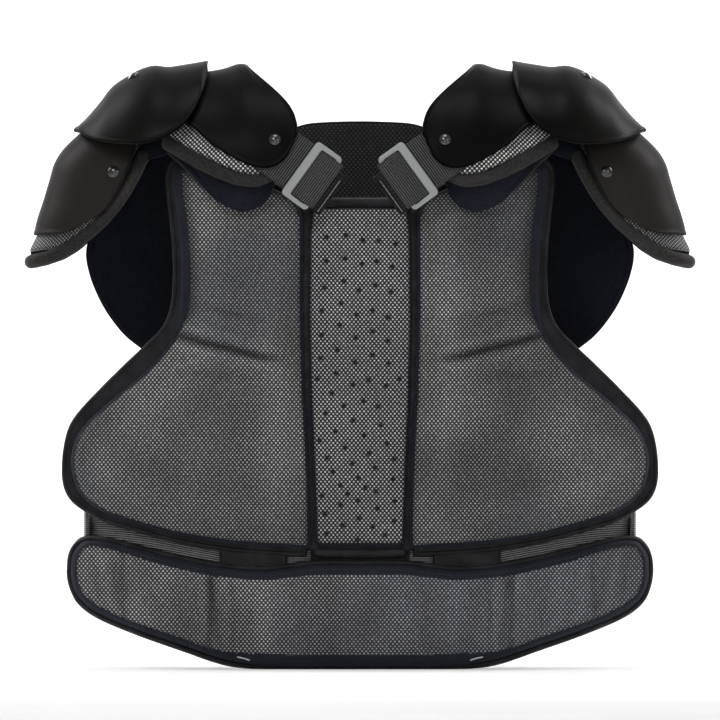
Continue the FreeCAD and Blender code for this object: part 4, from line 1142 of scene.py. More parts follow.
def belly_panel(name, puff):
    ni, nj = 420, 64
    xz = band_grid(BELLY_TOP_FULL, BELLY_LOW_FULL, ni, nj, bias=0.75)
    x, z = xz[..., 0], xz[..., 1]
    edge = edge_distance(xz, BELLY_OUTLINE)
    folds = belly_folds(x, z)
    ripples = belly_ripples(x, z, edge)
    upper = z > (z[:, :1] + z[:, -1:]) / 2
    depth = BELLY_SEAM + 11.8 * profile(edge, 10.5) + lift_grid(ni, nj, puff)
    depth += 2.4 * ripples - folds * smooth(edge / 5.0)
    depth -= 0.7 * bell(edge - 6.6, 1.2) * upper    # shallow line inside the upper edge
    depth += 0.4 * wave(x * 2.0, z * 2.0, 21) * smooth(edge / 12)
    # painted shade in the folds and along the rounded edge; the ripples add painted highlights on
    # their ridges and painted shade in their hollows
    shade = 1.0 - 0.24 * np.clip(folds / 1.6, 0, 2.2)
    shade *= (0.35 + 0.65 * smooth((edge - 4.0) / 6.0)) * (1.0 + 0.95 * ripples)
    # the side wall has its own width above and below mid height
    cell_x, cell_z = np.abs(cell_mean(x)), cell_mean(z)
    mid_z = (np.interp(cell_x, *BELLY_LOW.T) + np.interp(cell_x, *BELLY_TOP.T)) / 2
    above = 9.0 - 3.2 * smooth((cell_x - 190.0) / 45.0)
    below = 6.2 + 5.0 * smooth((150.0 - cell_x) / 60.0)
    wall = cell_mean(edge) < np.where(cell_z > mid_z, above, below)
    return cushion(name, on_front, xz, depth, BELLY_BASE,
                   [MATS["belly"], MATS["navy"], MATS["nylon"]], wall, shade)


def belly_binding(name):
    outline = band_outline(BRIM_LOW_FULL, BRIM_TOP_FULL, 420)
    return tube(name, on_front(inset_loop(outline, 2.2, 700), 2.6), 2.9, MATS["tape"], seg=10,
                up=FRONT, flat=1.15, loop=True, wobble=0.06)


def belly_stitch(name):
    """Stitches along the upper edge only."""
    inset = 5.0
    path = inset_loop(BELLY_OUTLINE, inset, 700)
    path = path[path[:, 1] > np.interp(path[:, 0], *BELLY_LOW_FULL.T) + 30]
    path = path[np.argsort(path[:, 0])]
    depth = BELLY_SEAM + 11.8 * profile(inset, 10.5) + 0.3
    depth = depth - belly_folds(path[:, 0], path[:, 1]) * 0.9
    return stitches(name, on_front(path, depth), FRONT, MATS["thread_dark"], length=2.6,
                    gap=1.5, radius=0.34)


def belly_hanger(name):
    """Elastic sheet behind the gap between the belly pad and the sternum."""
    u, v = unit_grid(90, 40)
    xz = np.stack([-71.0 + 142.0 * u, 66.0 + 58.0 * v], -1)
    return slab(name, on_front, xz, -1.3, -2.9, MATS["elastic"])


def belly_loop(name, sign):
    u, v = unit_grid(30, 30)
    xz = np.stack([98.0 + 25.5 * u - 2.6 * v, 5.0 + 26.0 * v - 2.1 * (1 - u)], -1)
    return slab(name, on_front, xz, -0.5, -2.2, MATS["webbing"], sign)


def belly_loop_painted_glint(name, sign):
    """Short light tube near the pad's lower edge: a painted glint on the loop tab."""
    x = np.linspace(104.5, 117.0, 24)
    z = 7.2 + 0.26 * (x - 104.5) + 0.4 * np.sin((x - 104.5) / 4.0)
    path = on_front(np.stack([x, z], -1), 14.0)
    return tube(name, mirrored(path, sign), 0.75, MATS["painted_glint_grey"], seg=8, up=FRONT)


add(belly_panel("belly_panel", inflate_belly()), "belly", ["belly_cover", "belly_foam"])
add(slab("belly_board", on_front, band_grid(BRIM_TOP_FULL, BRIM_LOW_FULL, 200, 18, bias=0.5),
         2.9, 0.0, MATS["nylon"]), "belly", ["belly_backing"])
add(belly_binding("belly_binding"), "belly", [])
add(belly_stitch("belly_stitch"), "belly", [])
add_between(belly_hanger("belly_hanger_web"), "elastic", ("belly", "sternum"),
            start=(0, -0.098, 0.104), end=(0, -0.098, 0.121), replaces=["belly_hanger"])
for side, sign in SIDES:
    add(belly_loop("belly_loop_" + side, sign), "belly",
        ["belly_loops"] if side == "left" else [])
for side, sign in SIDES:
    add(belly_loop_painted_glint("belly_loop_painted_glint_" + side, sign), "belly", [])


# ================================================================ waist
def waist_tab(name, sign):
    """Smooth dark tab below the chest board's lower edge."""
    u, v = unit_grid(40, 14)
    xz = np.stack([70.5 + 62.0 * u, 97.0 + 12.5 * v + 3.0 * u * v], -1)
    crown = 0.8 * (1 - (2 * u - 1) ** 4) * (1 - (2 * v - 1) ** 4)
    return slab(name, on_front, xz, 3.4 + crown, 0.4, MATS["tape"], sign)


pair("waist_tab", waist_tab, "chest")

BAND_WIDTH = 34.0
BAND_THICK = 1.8
BAND_RIBS = 17


def waist_path_on_front():
    path = []
    for x in (76.0, 100.0, 130.0, 160.0, 190.0, 215.0, 236.0):
        z = 108.0 + 24.0 * (x - 72.0) / 171.0
        path.append((x, float(front_y(x, z)) + 0.8 + BAND_THICK))
    return path


# (x, y) paths of the elastics, seen from above
WAIST_PATH = waist_path_on_front() + [(246.0, -46.5), (252.5, -36.0), (256.5, -23.0),
                                      (258.0, -8.0)]
REAR_PATH = [(156.0, 79.5), (164.0, 77.2), (176.0, 73.5), (190.0, 69.0), (212.0, 60.0),
             (234.0, 48.0), (249.0, 36.0), (257.0, 23.0), (261.0, 8.0), (261.8, -8.0),
             (261.3, -24.0), (259.8, -36.0)]


def elastic_band(name, sign, path, height):
    """Ribbed elastic; height(x) is the z of its middle line."""
    path = spline(ease(resample(path, 240), 26, 6), 220)
    v = np.linspace(-0.5, 0.5, 137)
    rib = 0.38 * np.abs(np.cos(v * BAND_RIBS * math.pi)) ** 0.6
    rib[np.abs(v) > 0.47] = 0.1
    gathers = 0.072 * np.sin(arc(path) * 2 * math.pi / 2.6)
    middle = height(path[:, :1])

    def place(x, y, across):
        return np.stack([x, y, middle + across], -1)

    return ribbon(name, path, v * BAND_WIDTH, 0.2 - rib[None] - gathers[:, None], BAND_THICK,
                  place, MATS["elastic"], sign)


def waist_band(name, sign):
    return elastic_band(name, sign, WAIST_PATH,
                        lambda x: 107.0 + 23.5 * smooth((x - 60.0) / 190.0))


def rear_band(name, sign):
    return elastic_band(name, sign, REAR_PATH, lambda x: 130.5)


pair("waist_band", waist_band, "chest", ["waist_elastic"])
pair("rear_band", rear_band, "rear_strap", ["rear_strap"])


# ================================================================ shells over the shoulders
class Arch:
    """Curved shell over a shoulder: s runs through the rows, t from -1 (back) to 1 (front).

    core is the (x, z) of the line the shell wraps around. Each row holds x and z of the crown
    (t = 0), x and z of the feet (|t| = 1), their distance in y from the middle, the angle of
    the arc in degrees, and how far it bows in x and z halfway down.
    """

    def __init__(self, core, rows):
        self.core = core
        self.columns = list(zip(*rows))
        self.top = len(rows) - 1.0

    def mid(self, s, t):
        s, t = np.broadcast_arrays(np.asarray(s, float), np.asarray(t, float))
        crown_x, crown_z, foot_x, foot_z, foot_y, angle, bow_x, bow_z = [
            catmull(column, s) for column in self.columns]
        angle = np.radians(np.maximum(8.0, angle))
        a = np.abs(t) * angle
        drop = (1 - np.cos(a)) / (1 - np.cos(angle))
        y = foot_y * np.sin(a) / np.sin(angle)
        bow = np.sin(math.pi * np.minimum(1.0, drop) ** 1.25)
        return np.stack([crown_x + (foot_x - crown_x) * drop + bow_x * bow,
                         np.where(t > 0, -y, y),
                         crown_z + (foot_z - crown_z) * drop + bow_z * bow], -1)

    def normal(self, s, t):
        e = 0.02
        s, t = np.broadcast_arrays(np.asarray(s, float), np.asarray(t, float))
        ds = self.mid(np.minimum(self.top, s + e), t) - self.mid(np.maximum(0.0, s - e), t)
        near = np.abs(t) < e
        dt = self.mid(s, np.where(near, e, t + e)) - self.mid(s, np.where(near, -e, t - e))
        n = np.cross(ds, dt)
        n /= np.linalg.norm(n, axis=-1, keepdims=True) + 1e-12
        p = self.mid(s, t)
        out = np.stack([p[..., 0] - self.core[0], p[..., 1], p[..., 2] - self.core[1]], -1)
        return np.where((n * out).sum(-1, keepdims=True) < 0, -n, n)

    def at(self, s, t, depth):
        """Points sunk below the surface by depth."""
        return self.mid(s, t) - self.normal(s, t) * np.asarray(depth, float)[..., None]


PLATE = Arch((125.0, 440.0), [
    (186.0, 562.0, 180.0, 521.0, 98.0, 60.0, 0, 0),
    (160.0, 566.5, 160.0, 516.0, 104.0, 65.0, 0, 0),
    (140.0, 569.0, 142.0, 500.0, 113.0, 73.0, 0, 0),
    (128.0, 571.5, 122.0, 487.0, 119.5, 80.0, 0, 0),
    (118.0, 575.0, 103.0, 478.0, 124.0, 85.0, -1.0, 0),
    (111.5, 575.5, 84.0, 477.0, 125.0, 86.0, -3.5, 0),
    (109.0, 574.8, 70.3, 486.4, 123.5, 82.0, -7.5, 0),
    (107.0, 573.2, 60.3, 508.0, 117.0, 70.0, -11.5, 0)])
PAD = Arch((125.0, 440.0), [
    (192.0, 553.0, 190.0, 507.0, 92.0, 65.0, 0, 0),
    (168.0, 557.5, 171.0, 492.0, 101.0, 74.0, 0, 0),
    (146.0, 560.0, 151.0, 480.5, 109.0, 82.0, 0, 0),
    (133.0, 562.0, 130.0, 469.0, 115.0, 90.0, 0, 0),
    (123.5, 564.5, 110.0, 461.5, 117.0, 95.0, 0, 0),
    (116.5, 566.0, 91.0, 461.0, 116.5, 95.0, -2.0, 0),
    (110.5, 566.0, 75.0, 471.0, 114.5, 90.0, -5.0, 0),
    (104.5, 564.5, 66.5, 497.0, 109.5, 78.0, -8.0, 0)])
FLAP = Arch((128.0, 440.0), [
    (183.0, 540.0, 185.0, 494.0, 78.0, 65.0, 0, 0),
    (169.0, 543.0, 169.0, 480.0, 87.0, 76.0, 0, 0),
    (153.0, 545.0, 152.5, 461.5, 94.0, 92.0, 0, 0),
    (141.0, 546.5, 135.0, 444.0, 97.5, 102.0, 0, 0),
    (132.0, 547.5, 115.0, 435.2, 99.5, 107.0, 0, 0),
    (125.5, 548.5, 100.0, 437.5, 100.0, 106.0, 0, 0),
    (119.5, 548.5, 88.0, 446.0, 99.5, 101.0, 0, 0),
    (114.0, 547.0, 81.0, 462.0, 97.5, 90.0, -3.0, 0)])
ARM_PLATE = Arch((215.0, 440.0), [
    (249.0, 524.0, 212.0, 505.0, 62.0, 80.0, 0, 0),
    (268.0, 508.6, 215.5, 494.0, 70.0, 82.0, 0, 0),
    (283.1, 494.0, 219.0, 481.5, 75.0, 82.0, 0, 0),
    (291.7, 480.7, 224.0, 469.5, 77.5, 82.0, 0, 0),
    (296.5, 465.0, 229.5, 457.5, 78.0, 82.0, 0, 0),
    (301.7, 447.2, 236.8, 444.5, 76.5, 82.0, 0, 0),
    (308.0, 428.0, 246.0, 433.5, 75.0, 82.0, 0, -2.0),
    (311.6, 413.3, 259.0, 424.5, 70.5, 82.0, 0, -4.5)])
ARM_PAD = Arch((215.0, 440.0), [
    (238.0, 518.0, 203.5, 496.0, 56.0, 80.0, 0, 0),
    (261.5, 501.5, 208.5, 484.0, 64.0, 82.0, 0, 0),
    (277.0, 486.5, 215.0, 470.0, 69.0, 82.0, 0, 0),
    (286.0, 473.0, 222.5, 457.5, 71.5, 82.0, 0, 0),
    (291.0, 459.0, 230.0, 445.5, 72.0, 82.0, 0, 0),
    (297.0, 440.0, 238.5, 433.0, 71.0, 82.0, 0, 0),
    (306.5, 416.0, 250.5, 420.0, 68.5, 82.0, 0, -2.0),
    (320.0, 388.5, 266.0, 407.0, 63.0, 82.0, 0, -4.5)])
CAP = Arch((205.0, 440.0), [
    (146.3, 578.4, 145.1, 566.5, 46.0, 45.0, 0, 0),
    (152.0, 577.4, 149.7, 549.0, 84.0, 60.0, 0, 0),
    (160.0, 576.0, 157.0, 532.0, 102.0, 66.0, 0, 0),
    (170.0, 574.4, 167.5, 517.5, 111.5, 72.0, 0, 0),
    (183.1, 572.6, 184.5, 506.0, 115.0, 76.0, 0, 0),
    (196.4, 573.8, 204.0, 500.0, 113.0, 78.0, 0, 0),
    (209.0, 570.5, 222.0, 499.4, 105.0, 78.0, 0, 0),
    (221.7, 563.8, 238.0, 500.8, 93.0, 76.0, 0, 0),
    (236.5, 553.6, 251.0, 503.5, 79.0, 72.0, 0, 0),
    (248.3, 538.6, 261.0, 507.5, 62.0, 65.0, 0, 0),
    (262.0, 522.8, 268.0, 511.5, 47.0, 50.0, 0, 0),
    (271.7, 514.2, 271.7, 513.2, 34.0, 30.0, 0, 0)])


def arch_border(arch, depth, start=0.15, corner=0.12, count=28):
    """Path along the front foot, the last row and the back foot, with cut corners."""
    k = np.linspace(0, 1, 30)
    last = (1 - corner) * arch.top
    front = arch.at(start + (last - start) * k, 1.0, depth)
    across = arch.at(arch.top, (1.0 - corner * 1.2) * (1 - 2.0 * k), depth)
    back = arch.at(last + (start - last) * k, -1.0, depth)
    return spline(ease(np.concatenate([front, across, back]), count), 260)


def arch_grid(arch, ni, nj, bias):
    return np.meshgrid(arch.top * cluster(ni, bias), 2.0 * cluster(nj, bias) - 1.0,
                       indexing="ij")


def free_edge(points):
    """Rough distance from the two feet and the last row."""
    ends = (points[-1:, :], points[:, :1], points[:, -1:])
    return np.minimum.reduce([np.linalg.norm(points - end, axis=-1) for end in ends])


def arch_shell(name, arch, s, t, outer, inner, mats, sign, uv=None, **options):
    out, inn = arch.at(s, t, outer), arch.at(s, t, inner)
    if uv is None:
        steps = np.linalg.norm(np.diff(out, axis=0), axis=-1)
        u = np.concatenate([np.cumsum(steps[::-1], 0)[::-1], np.zeros((1, out.shape[1]))])
        v = arc(out[-1])
        uv = np.stack([u, np.broadcast_to((v - v[-1] / 2)[None], u.shape)], -1)
    return shell(name, mirrored(out, sign), mirrored(inn, sign), mats, uv, **options)


def arch_plate(name, arch, sign, mat, ni, nj, lip=0.35):
    """Moulded plate with a soft raised lip along its free edges."""
    s, t = arch_grid(arch, ni, nj, bias=0.55)
    edge = free_edge(arch.mid(s, t))
    rise = lip * bell(edge - 0.8, 1.3) - 0.12 * bell(edge - 4.0, 1.6)
    return arch_shell(name, arch, s, t, -rise, 2.8, [mat], sign, rim=4)


def arch_pad(name, arch, sign, drop, neck, t_end, facing):
    """Foam pad under a plate. drop trims its end at the feet, neck at the crown."""
    ni, nj = 56, 120
    t = t_end * (2 * cluster(nj, 0.5) - 1)[None]
    foot = np.maximum(0.0, (np.abs(t) - 0.62) / (t_end - 0.62))
    end = 6.72 - drop * foot * foot - neck * np.maximum(0.0, 1.0 - (t / 0.7) ** 2)
    s = end * cluster(ni, 0.6)[:, None]
    t = np.broadcast_to(t, s.shape)
    edge = free_edge(arch.mid(s, t))
    depth = 1.6 * (1 - profile(edge, 5.0))
    out = arch.at(s, t, depth)
    slant = 0.3 * np.abs(out[..., 1])
    uv = np.stack([out[..., 0] - slant, out[..., 2] - slant], -1)
    # painted shade along the rounded edge of the facing
    shade = 0.30 + 0.70 * smooth((edge - 0.5) / 2.5)
    return arch_shell(name, arch, s, t, depth, 10.7,
                      [MATS[facing], MATS["foam"], MATS["tricot"]], sign, uv=uv,
                      attrs={"shade": shade}, rim=3, inner_mat=2, rim_mat=1)


def arch_roll(name, arch, sign, radius):
    """Padded roll along the free edge of a pad."""
    path = arch_border(arch, 5.5)
    length = arc(path)
    swell = 1.0 + 0.04 * (0.5 * np.sin(length * 0.33) + 0.5 * np.sin(length * 0.145 + 1.0))
    return tube(name, mirrored(path, sign), radius, MATS["binding"], seg=24, swell=swell)


def collar_plate(name, sign):
    return arch_plate(name, PLATE, sign, MATS["plate"], 70, 120)


def collar_pad(name, sign):
    return arch_pad(name, PAD, sign, drop=1.0, neck=0.62, t_end=0.945, facing="facing")


def collar_roll(name, sign):
    return arch_roll(name, PAD, sign, 7.112)


def arm_plate(name, sign):
    return arch_plate(name, ARM_PLATE, sign, MATS["plate"], 50, 100)


def arm_pad(name, sign):
    return arch_pad(name, ARM_PAD, sign, drop=1.05, neck=0.0, t_end=0.91, facing="facing_fine")


def arm_roll(name, sign):
    return arch_roll(name, ARM_PAD, sign, 6.496)


def shoulder_dome(name, sign):
    return arch_plate(name, CAP, sign, MATS["cap"], 90, 120, lip=0.45)


def under_flap(name, sign):
    """Soft flap under the collar pad."""
    s, t = arch_grid(FLAP, 46, 150, bias=0.5)
    points = FLAP.mid(s, t)
    edge = free_edge(points)
    rise = 0.35 * wave(points[..., 0] * 2, points[..., 2] * 2, 31) * smooth(edge / 10)
    rise -= 0.8 * bell(edge - 6.0, 1.2)
    return arch_shell(name, FLAP, s, t, -0.2 - rise, 4.0, [MATS["tricot"]], sign, rim=3)


def under_flap_edge(name, sign):
    path = arch_border(FLAP, 1.6, start=0.1, corner=0.05, count=36)
    return tube(name, mirrored(path, sign), 2.3, MATS["tape"], seg=8)


pair("collar_plate", collar_plate, "arch", ["clavicle_plate"])
pair("collar_pad", collar_pad, "arch", ["clavicle_pad", "clavicle_facing"])
pair("collar_roll", collar_roll, "arch", ["clavicle_binding"])
pair("arm_plate", arm_plate, "arm_cap", ["arm_cap_plate"])
pair("arm_pad", arm_pad, "arm_cap", ["arm_cap_pad", "arm_cap_facing"])
pair("arm_roll", arm_roll, "arm_cap", ["arm_cap_binding"])
pair("shoulder_dome", shoulder_dome, "shoulder_cap", ["shoulder_cap"])
pair("under_flap_cloth", under_flap, "arch", ["under_flap"])
pair("under_flap_edge", under_flap_edge, "arch", [])

# (x, z) path of the elastic from the shoulder arch to the arm cap
TETHER_PATH = [(187.5, 530.5), (202.0, 524.0), (219.0, 510.5), (231.0, 496.0), (238.0, 485.0)]


def arm_tether(name, sign):
    across = np.linspace(-22, 22, 61)
    rib = 0.3 * np.abs(np.cos(across / 44 * 11 * math.pi)) ** 0.6
    return ribbon(name, spline(TETHER_PATH, 60), across, 0.6 + rib[None], -0.8,
                  lambda x, z, y: np.stack([x, y, z], -1), MATS["elastic"], sign)


def arm_bridge(name, sign):
    """Cloth that bridges the shoulder arch and the arm cap, under the shoulder cap."""
    nt, nv = 100, 34
    t = np.linspace(-1.0, 1.0, nt)
    v = np.linspace(0, 1, nv)
    start = FLAP.at(0.25, t, 2.0)
    end = ARM_PAD.at(0.9, t * 0.97, 9.5)
    points = start[:, None] * (1 - v)[None, :, None] + end[:, None] * v[None, :, None]
    outward = points - np.array([200.0, 0.0, 470.0])
    outward /= np.linalg.norm(outward, axis=-1, keepdims=True)
    sag = -3.0 * np.sin(v * math.pi)[None] + 0.5 * np.sin(v * 9.0)[None] * np.cos(t * 7.0)[:, None]
    points = points + outward * sag[..., None]
    normal = grid_normals(points)
    if (normal * outward).sum() < 0:
        normal = -normal
    uv = np.stack(np.broadcast_arrays(arc(points[:, 0])[:, None], (v * 30.0)[None]), -1)
    return shell(name, mirrored(points + normal * 0.6, sign),
                 mirrored(points - normal * 0.6, sign), [MATS["tricot"]], uv)


for side, sign in SIDES:
    add_between(arm_tether("arm_tether_web_" + side, sign), "elastic",
                ("arch_" + side, "arm_cap_" + side), start=(sign * 0.196, 0, 0.5275),
                end=(sign * 0.233, 0, 0.493), replaces=["arm_tether_" + side])
for side, sign in SIDES:
    add_between(arm_bridge("arm_bridge_" + side, sign), "tricot",
                ("arch_" + side, "arm_cap_" + side), start=(sign * 0.187, 0, 0.50),
                end=(sign * 0.2055, 0, 0.50))

# ================================================================ webbing and buckles
# The buckle's own frame: its centre, the direction down the strap and the one across it
BUCKLE_CENTRE = np.array([45.7, -112.5, 467.3])
BUCKLE_ALONG = np.array([-0.811, 0.0, -0.585])
BUCKLE_ACROSS = np.array([-0.585, 0.0, 0.811])
RIB_PITCH = 2.25
# (along, outwards) paths of the folded strap end and of the tab below the buckle
FOLD_PATH = [(-6.6, -0.4), (-2.0, 1.2), (5.0, 3.0), (12.5, 3.6), (17.0, 1.6), (17.8, -1.4),
             (15.4, -3.1), (8.0, -3.3)]
TAB_PATH = [(4.0, -5.6), (12.0, -5.7), (20.0, -5.8), (23.6, -6.3), (25.6, -8.0), (26.6, -10.6),
            (27.2, -13.6)]
TAB_SHIFT = -4.0        # the tab sits off centre across the buckle


def buckle_point(along, outwards, across):
    a, o, c = np.broadcast_arrays(np.asarray(along, float), outwards, across)
    return (BUCKLE_CENTRE + BUCKLE_ALONG * a[..., None] + FRONT * o[..., None]
            + BUCKLE_ACROSS * c[..., None])


def nearest_st(arch, t_values, x, z):
    """The s and t of an arch whose surface lies nearest to each (x, z)."""
    s, t = np.meshgrid(np.linspace(0, arch.top, 141), t_values, indexing="ij")
    p = arch.mid(s, t).reshape(-1, 3)
    dist = (p[None, :, 0] - x.ravel()[:, None]) ** 2 + (p[None, :, 2] - z.ravel()[:, None]) ** 2
    best = dist.argmin(1)
    return s.ravel()[best].reshape(x.shape), t.ravel()[best].reshape(x.shape)


def shoulder_web(name, sign):
    """Strap from under the collar plate down to the buckle."""
    along, across = np.meshgrid(np.linspace(-57, 6, 22), np.linspace(-25.0, 25.0, 9),
                                indexing="ij")
    p = buckle_point(along, 0.0, across)
    rise = catmull([3.0, 1.9, -0.4, -2.3, -2.6], np.clip((along + 34.0) / 6.0, 0, 4))
    flat = BUCKLE_CENTRE[1] - rise
    s, t = nearest_st(PLATE, np.linspace(0.02, 1.0, 141), p[..., 0], p[..., 2])
    under = PLATE.at(s, t, 4.8)[..., 1]
    y = np.where(along > -12.0, flat, under + (flat - under) * smooth((along + 33.0) / 22.0))
    n_along, n_across = 400, 41
    y = lift_grid(n_along, n_across, soften(y, 3))
    along, across = np.linspace(-57, 6, n_along), np.linspace(-25.0, 25.0, n_across)
    rib = 0.42 * np.abs(np.sin(along * math.pi / RIB_PITCH)) ** 0.7
    inside = smooth((25.0 - np.abs(across)) / 1.6)
    uv = np.stack(np.meshgrid(along, across, indexing="ij"), -1)
    outer = buckle_point(uv[..., 0], 0.0, uv[..., 1])
    inner = outer.copy()
    outer[..., 1] = y - 0.1 - rib[:, None] * inside[None] + 0.25 * (1 - inside[None])
    inner[..., 1] = y + 1.5
    return shell(name, mirrored(outer, sign), mirrored(inner, sign), [MATS["webbing"]], uv)


def strap_loop(name, sign):
    path = spline(FOLD_PATH, 300)
    across = np.linspace(-24.8, 24.8, 31)
    rib = 0.30 * np.abs(np.sin(arc(path) * math.pi / RIB_PITCH)) ** 0.7
    inside = smooth((24.8 - np.abs(across)) / 1.4)
    return ribbon(name, path, across, 0.45 + rib[:, None] * inside[None], -0.6, buckle_point,
                  MATS["webbing"], sign)


def buckle_tab(name, sign):
    return ribbon(name, spline(TAB_PATH, 160), np.linspace(-22.0, 22.0, 31) + TAB_SHIFT,
                  0.7, -0.8, buckle_point, MATS["tape"], sign)


# Rows across the tab: along, outwards, material, stitch length, gap, thread radius. The
# first, light and almost unbroken, is a painted highlight along the tab's bend; the second
# is a row of stitches.
TAB_ROWS = [(24.3, -6.6, "painted_glint_grey", 4.5, 0.1, 0.3), (20.6, -5.7, "thread", 1.4, 2.2, 0.4)]


def tab_row(name, sign, along, outwards, mat, length, gap, radius):
    across = np.linspace(-20.5, 20.5, 60) + TAB_SHIFT
    path = mirrored(buckle_point(along, outwards + 1.15, across), sign)
    return stitches(name, path, FRONT, MATS[mat], length, gap, radius)


# Corners (x, z) of the rear strap that runs from the back panel up inside the flap
YOKE_X, YOKE_Z = (92.0, 126.0), (441.0, 488.0)


def yoke_table():
    """Coarse grid of the rear strap's middle surface."""
    x, z = np.meshgrid(np.linspace(*YOKE_X, 9), np.linspace(*YOKE_Z, 14), indexing="ij")
    s, t = nearest_st(FLAP, np.linspace(-1, 0, 101), x, z)
    high = FLAP.at(s, t, 7.0)[..., 1]
    low = back_y(x, z) + 8.2 + 1.6
    return np.stack([x, low + (high - low) * smooth((z - 450.0) / 24.0), z], -1)


def rear_yoke(name, sign, table):
    nx, nz = 61, 160
    points = np.stack([lift_grid(nx, nz, table[..., k]) for k in range(3)], -1)
    rib = 0.3 * np.abs(np.sin(np.linspace(*YOKE_Z, nz) * math.pi / RIB_PITCH)) ** 0.7
    outer, inner = points.copy(), points.copy()
    outer[..., 1] += 0.05 + rib[None]
    inner[..., 1] -= 1.5
    uv = np.stack([points[..., 2], points[..., 0]], -1)
    return shell(name, mirrored(outer, sign), mirrored(inner, sign), [MATS["webbing"]], uv)


pair("shoulder_web", shoulder_web, "arch", ["shoulder_strap"])
pair("strap_loop", strap_loop, "buckle", ["strap_fold"])
for side, sign in SIDES:
    blend_ends = [tuple(buckle_point(along, -8, TAB_SHIFT) * MM * [sign, 1, 1])
                  for along in (18.0, 34.0)]
    add_between(buckle_tab("buckle_tab_" + side, sign), "webbing", ("back_panel", "sternum"),
                *blend_ends, replaces=["buckle_tabs"] if side == "left" else [])
    for k, row in enumerate(TAB_ROWS):
        add_between(tab_row("buckle_tab_stitch_%d_%s" % (k, side), sign, *row), "webbing",
                    ("back_panel", "sternum"), *blend_ends)
yoke = yoke_table()
for side, sign in SIDES:
    add_between(rear_yoke("rear_yoke_" + side, sign, yoke), "webbing",
                ("back_panel", "arch_" + side), start=(sign * 0.109, 0.085, 0.449),
                end=(sign * 0.109, 0.09, 0.478))

# ================================================================ back half
# Half outlines (x, z), from the top middle round to the bottom middle
BACK_HALF = [
    (0.0, 519.3), (30.0, 518.6), (54.0, 516.2), (72.0, 508.0), (92.0, 501.0), (116.0, 500.0),
    (142.0, 499.6), (164.0, 498.8), (180.0, 496.0), (192.0, 489.8), (203.8, 477.4),
    (214.2, 465.5), (226.0, 450.8), (244.0, 432.0), (256.0, 411.0), (260.0, 395.0),
    (257.5, 378.0), (250.5, 358.0), (239.0, 337.0), (222.9, 317.0), (205.6, 303.5),
    (190.0, 293.0), (176.0, 278.0), (168.0, 255.0), (166.0, 220.0), (167.0, 180.0),
    (166.0, 140.0), (158.0, 112.0), (136.0, 96.0), (100.0, 89.0), (50.0, 87.0), (0.0, 86.5)]
BACK_PAD_HALF = [
    (0.0, 500.0), (32.0, 498.0), (52.0, 484.0), (66.0, 462.0), (78.0, 440.0), (94.0, 427.0),
    (118.0, 422.0), (140.0, 414.0), (154.0, 400.0), (158.0, 380.0), (156.0, 340.0),
    (154.0, 290.0), (152.0, 240.0), (153.0, 190.0), (152.0, 150.0), (145.0, 122.0),
    (126.0, 106.0), (96.0, 99.5), (50.0, 98.0), (0.0, 97.5)]
SPINE_HALF = [
    (0.0, 452.0), (16.0, 451.4), (28.0, 448.0), (36.5, 438.0), (40.0, 420.0), (39.6, 395.0),
    (36.0, 330.0), (31.0, 260.0), (28.0, 205.0), (24.0, 180.0), (14.0, 167.0), (0.0, 164.0)]
# Grooves pressed into the back pad: two across it and one up each side of the spine plate
CHANNELS = [[(-140.0, 300.0), (-90.0, 292.0), (0.0, 288.0), (90.0, 292.0), (140.0, 300.0)],
            [(-140.0, 214.0), (-90.0, 206.0), (0.0, 203.0), (90.0, 206.0), (140.0, 214.0)]]
CHANNELS += [[(sign * x, z) for x, z in
              [(62.0, 470.0), (60.0, 420.0), (56.0, 300.0), (50.0, 180.0), (48.0, 112.0)]]
             for _, sign in SIDES]
BACK_PAD_BASE = 7.9     # depth of the pad's rear, and of its outer edge
BACK_PAD_SEAM = 8.2


def mirrored_outline(half):
    half = spline(half, 500)
    return np.concatenate([half, (half * [-1, 1])[::-1][1:-1]])


BACK_OUTLINE = mirrored_outline(BACK_HALF)
BACK_PAD_OUTLINE = mirrored_outline(BACK_PAD_HALF)


def channel_dist(xz):
    return np.minimum.reduce([line_dist(xz, channel)[0] for channel in CHANNELS])


def back_body(name):
    xz = rows_grid(BACK_HALF, 150, 200)
    x, z = xz[..., 0], xz[..., 1]
    edge = edge_distance(xz, BACK_OUTLINE)
    outer = 3.0 + 4.4 * profile(edge, 5.0) + 0.25 * wave(x, z, 41) * smooth(edge / 20)
    inner = 0.5 * (1 - profile(edge, 3.0))
    neck = (np.abs(x) < 78) & (z > 395)     # mesh lining at the top middle of the body side
    neck = (neck[:-1, :-1] & neck[1:, 1:]).reshape(-1)
    # the lining's mesh is dimmed to 0.55 as painted shade, deep behind the neck opening
    return shell(name, on_back(xz, outer), on_back(xz, inner), [MATS["back"], MATS["tricot"]],
                 xz, outer_mat=1, inner_mat=np.where(neck, 0, 1), rim_mat=1,
                 attrs={"shade": 0.55 + 0 * x})


def inflate_back():
    xz = rows_grid(BACK_PAD_HALF, 46, 64)
    x, z = xz[..., 0], xz[..., 1]
    edge = edge_distance(xz, BACK_PAD_OUTLINE)
    spine = (np.abs(x) < 44) & (z > 150) & (z < 458)
    hold = ((channel_dist(xz) < 3.4) | spine) * 1.0
    depth = BACK_PAD_SEAM + 7.8 * profile(edge, 8.0)
    return inflate(on_back(xz, depth), on_back(xz, BACK_PAD_BASE), edge, cap=5.0,
                   pressure=12.0, seed=11, hold=hold)


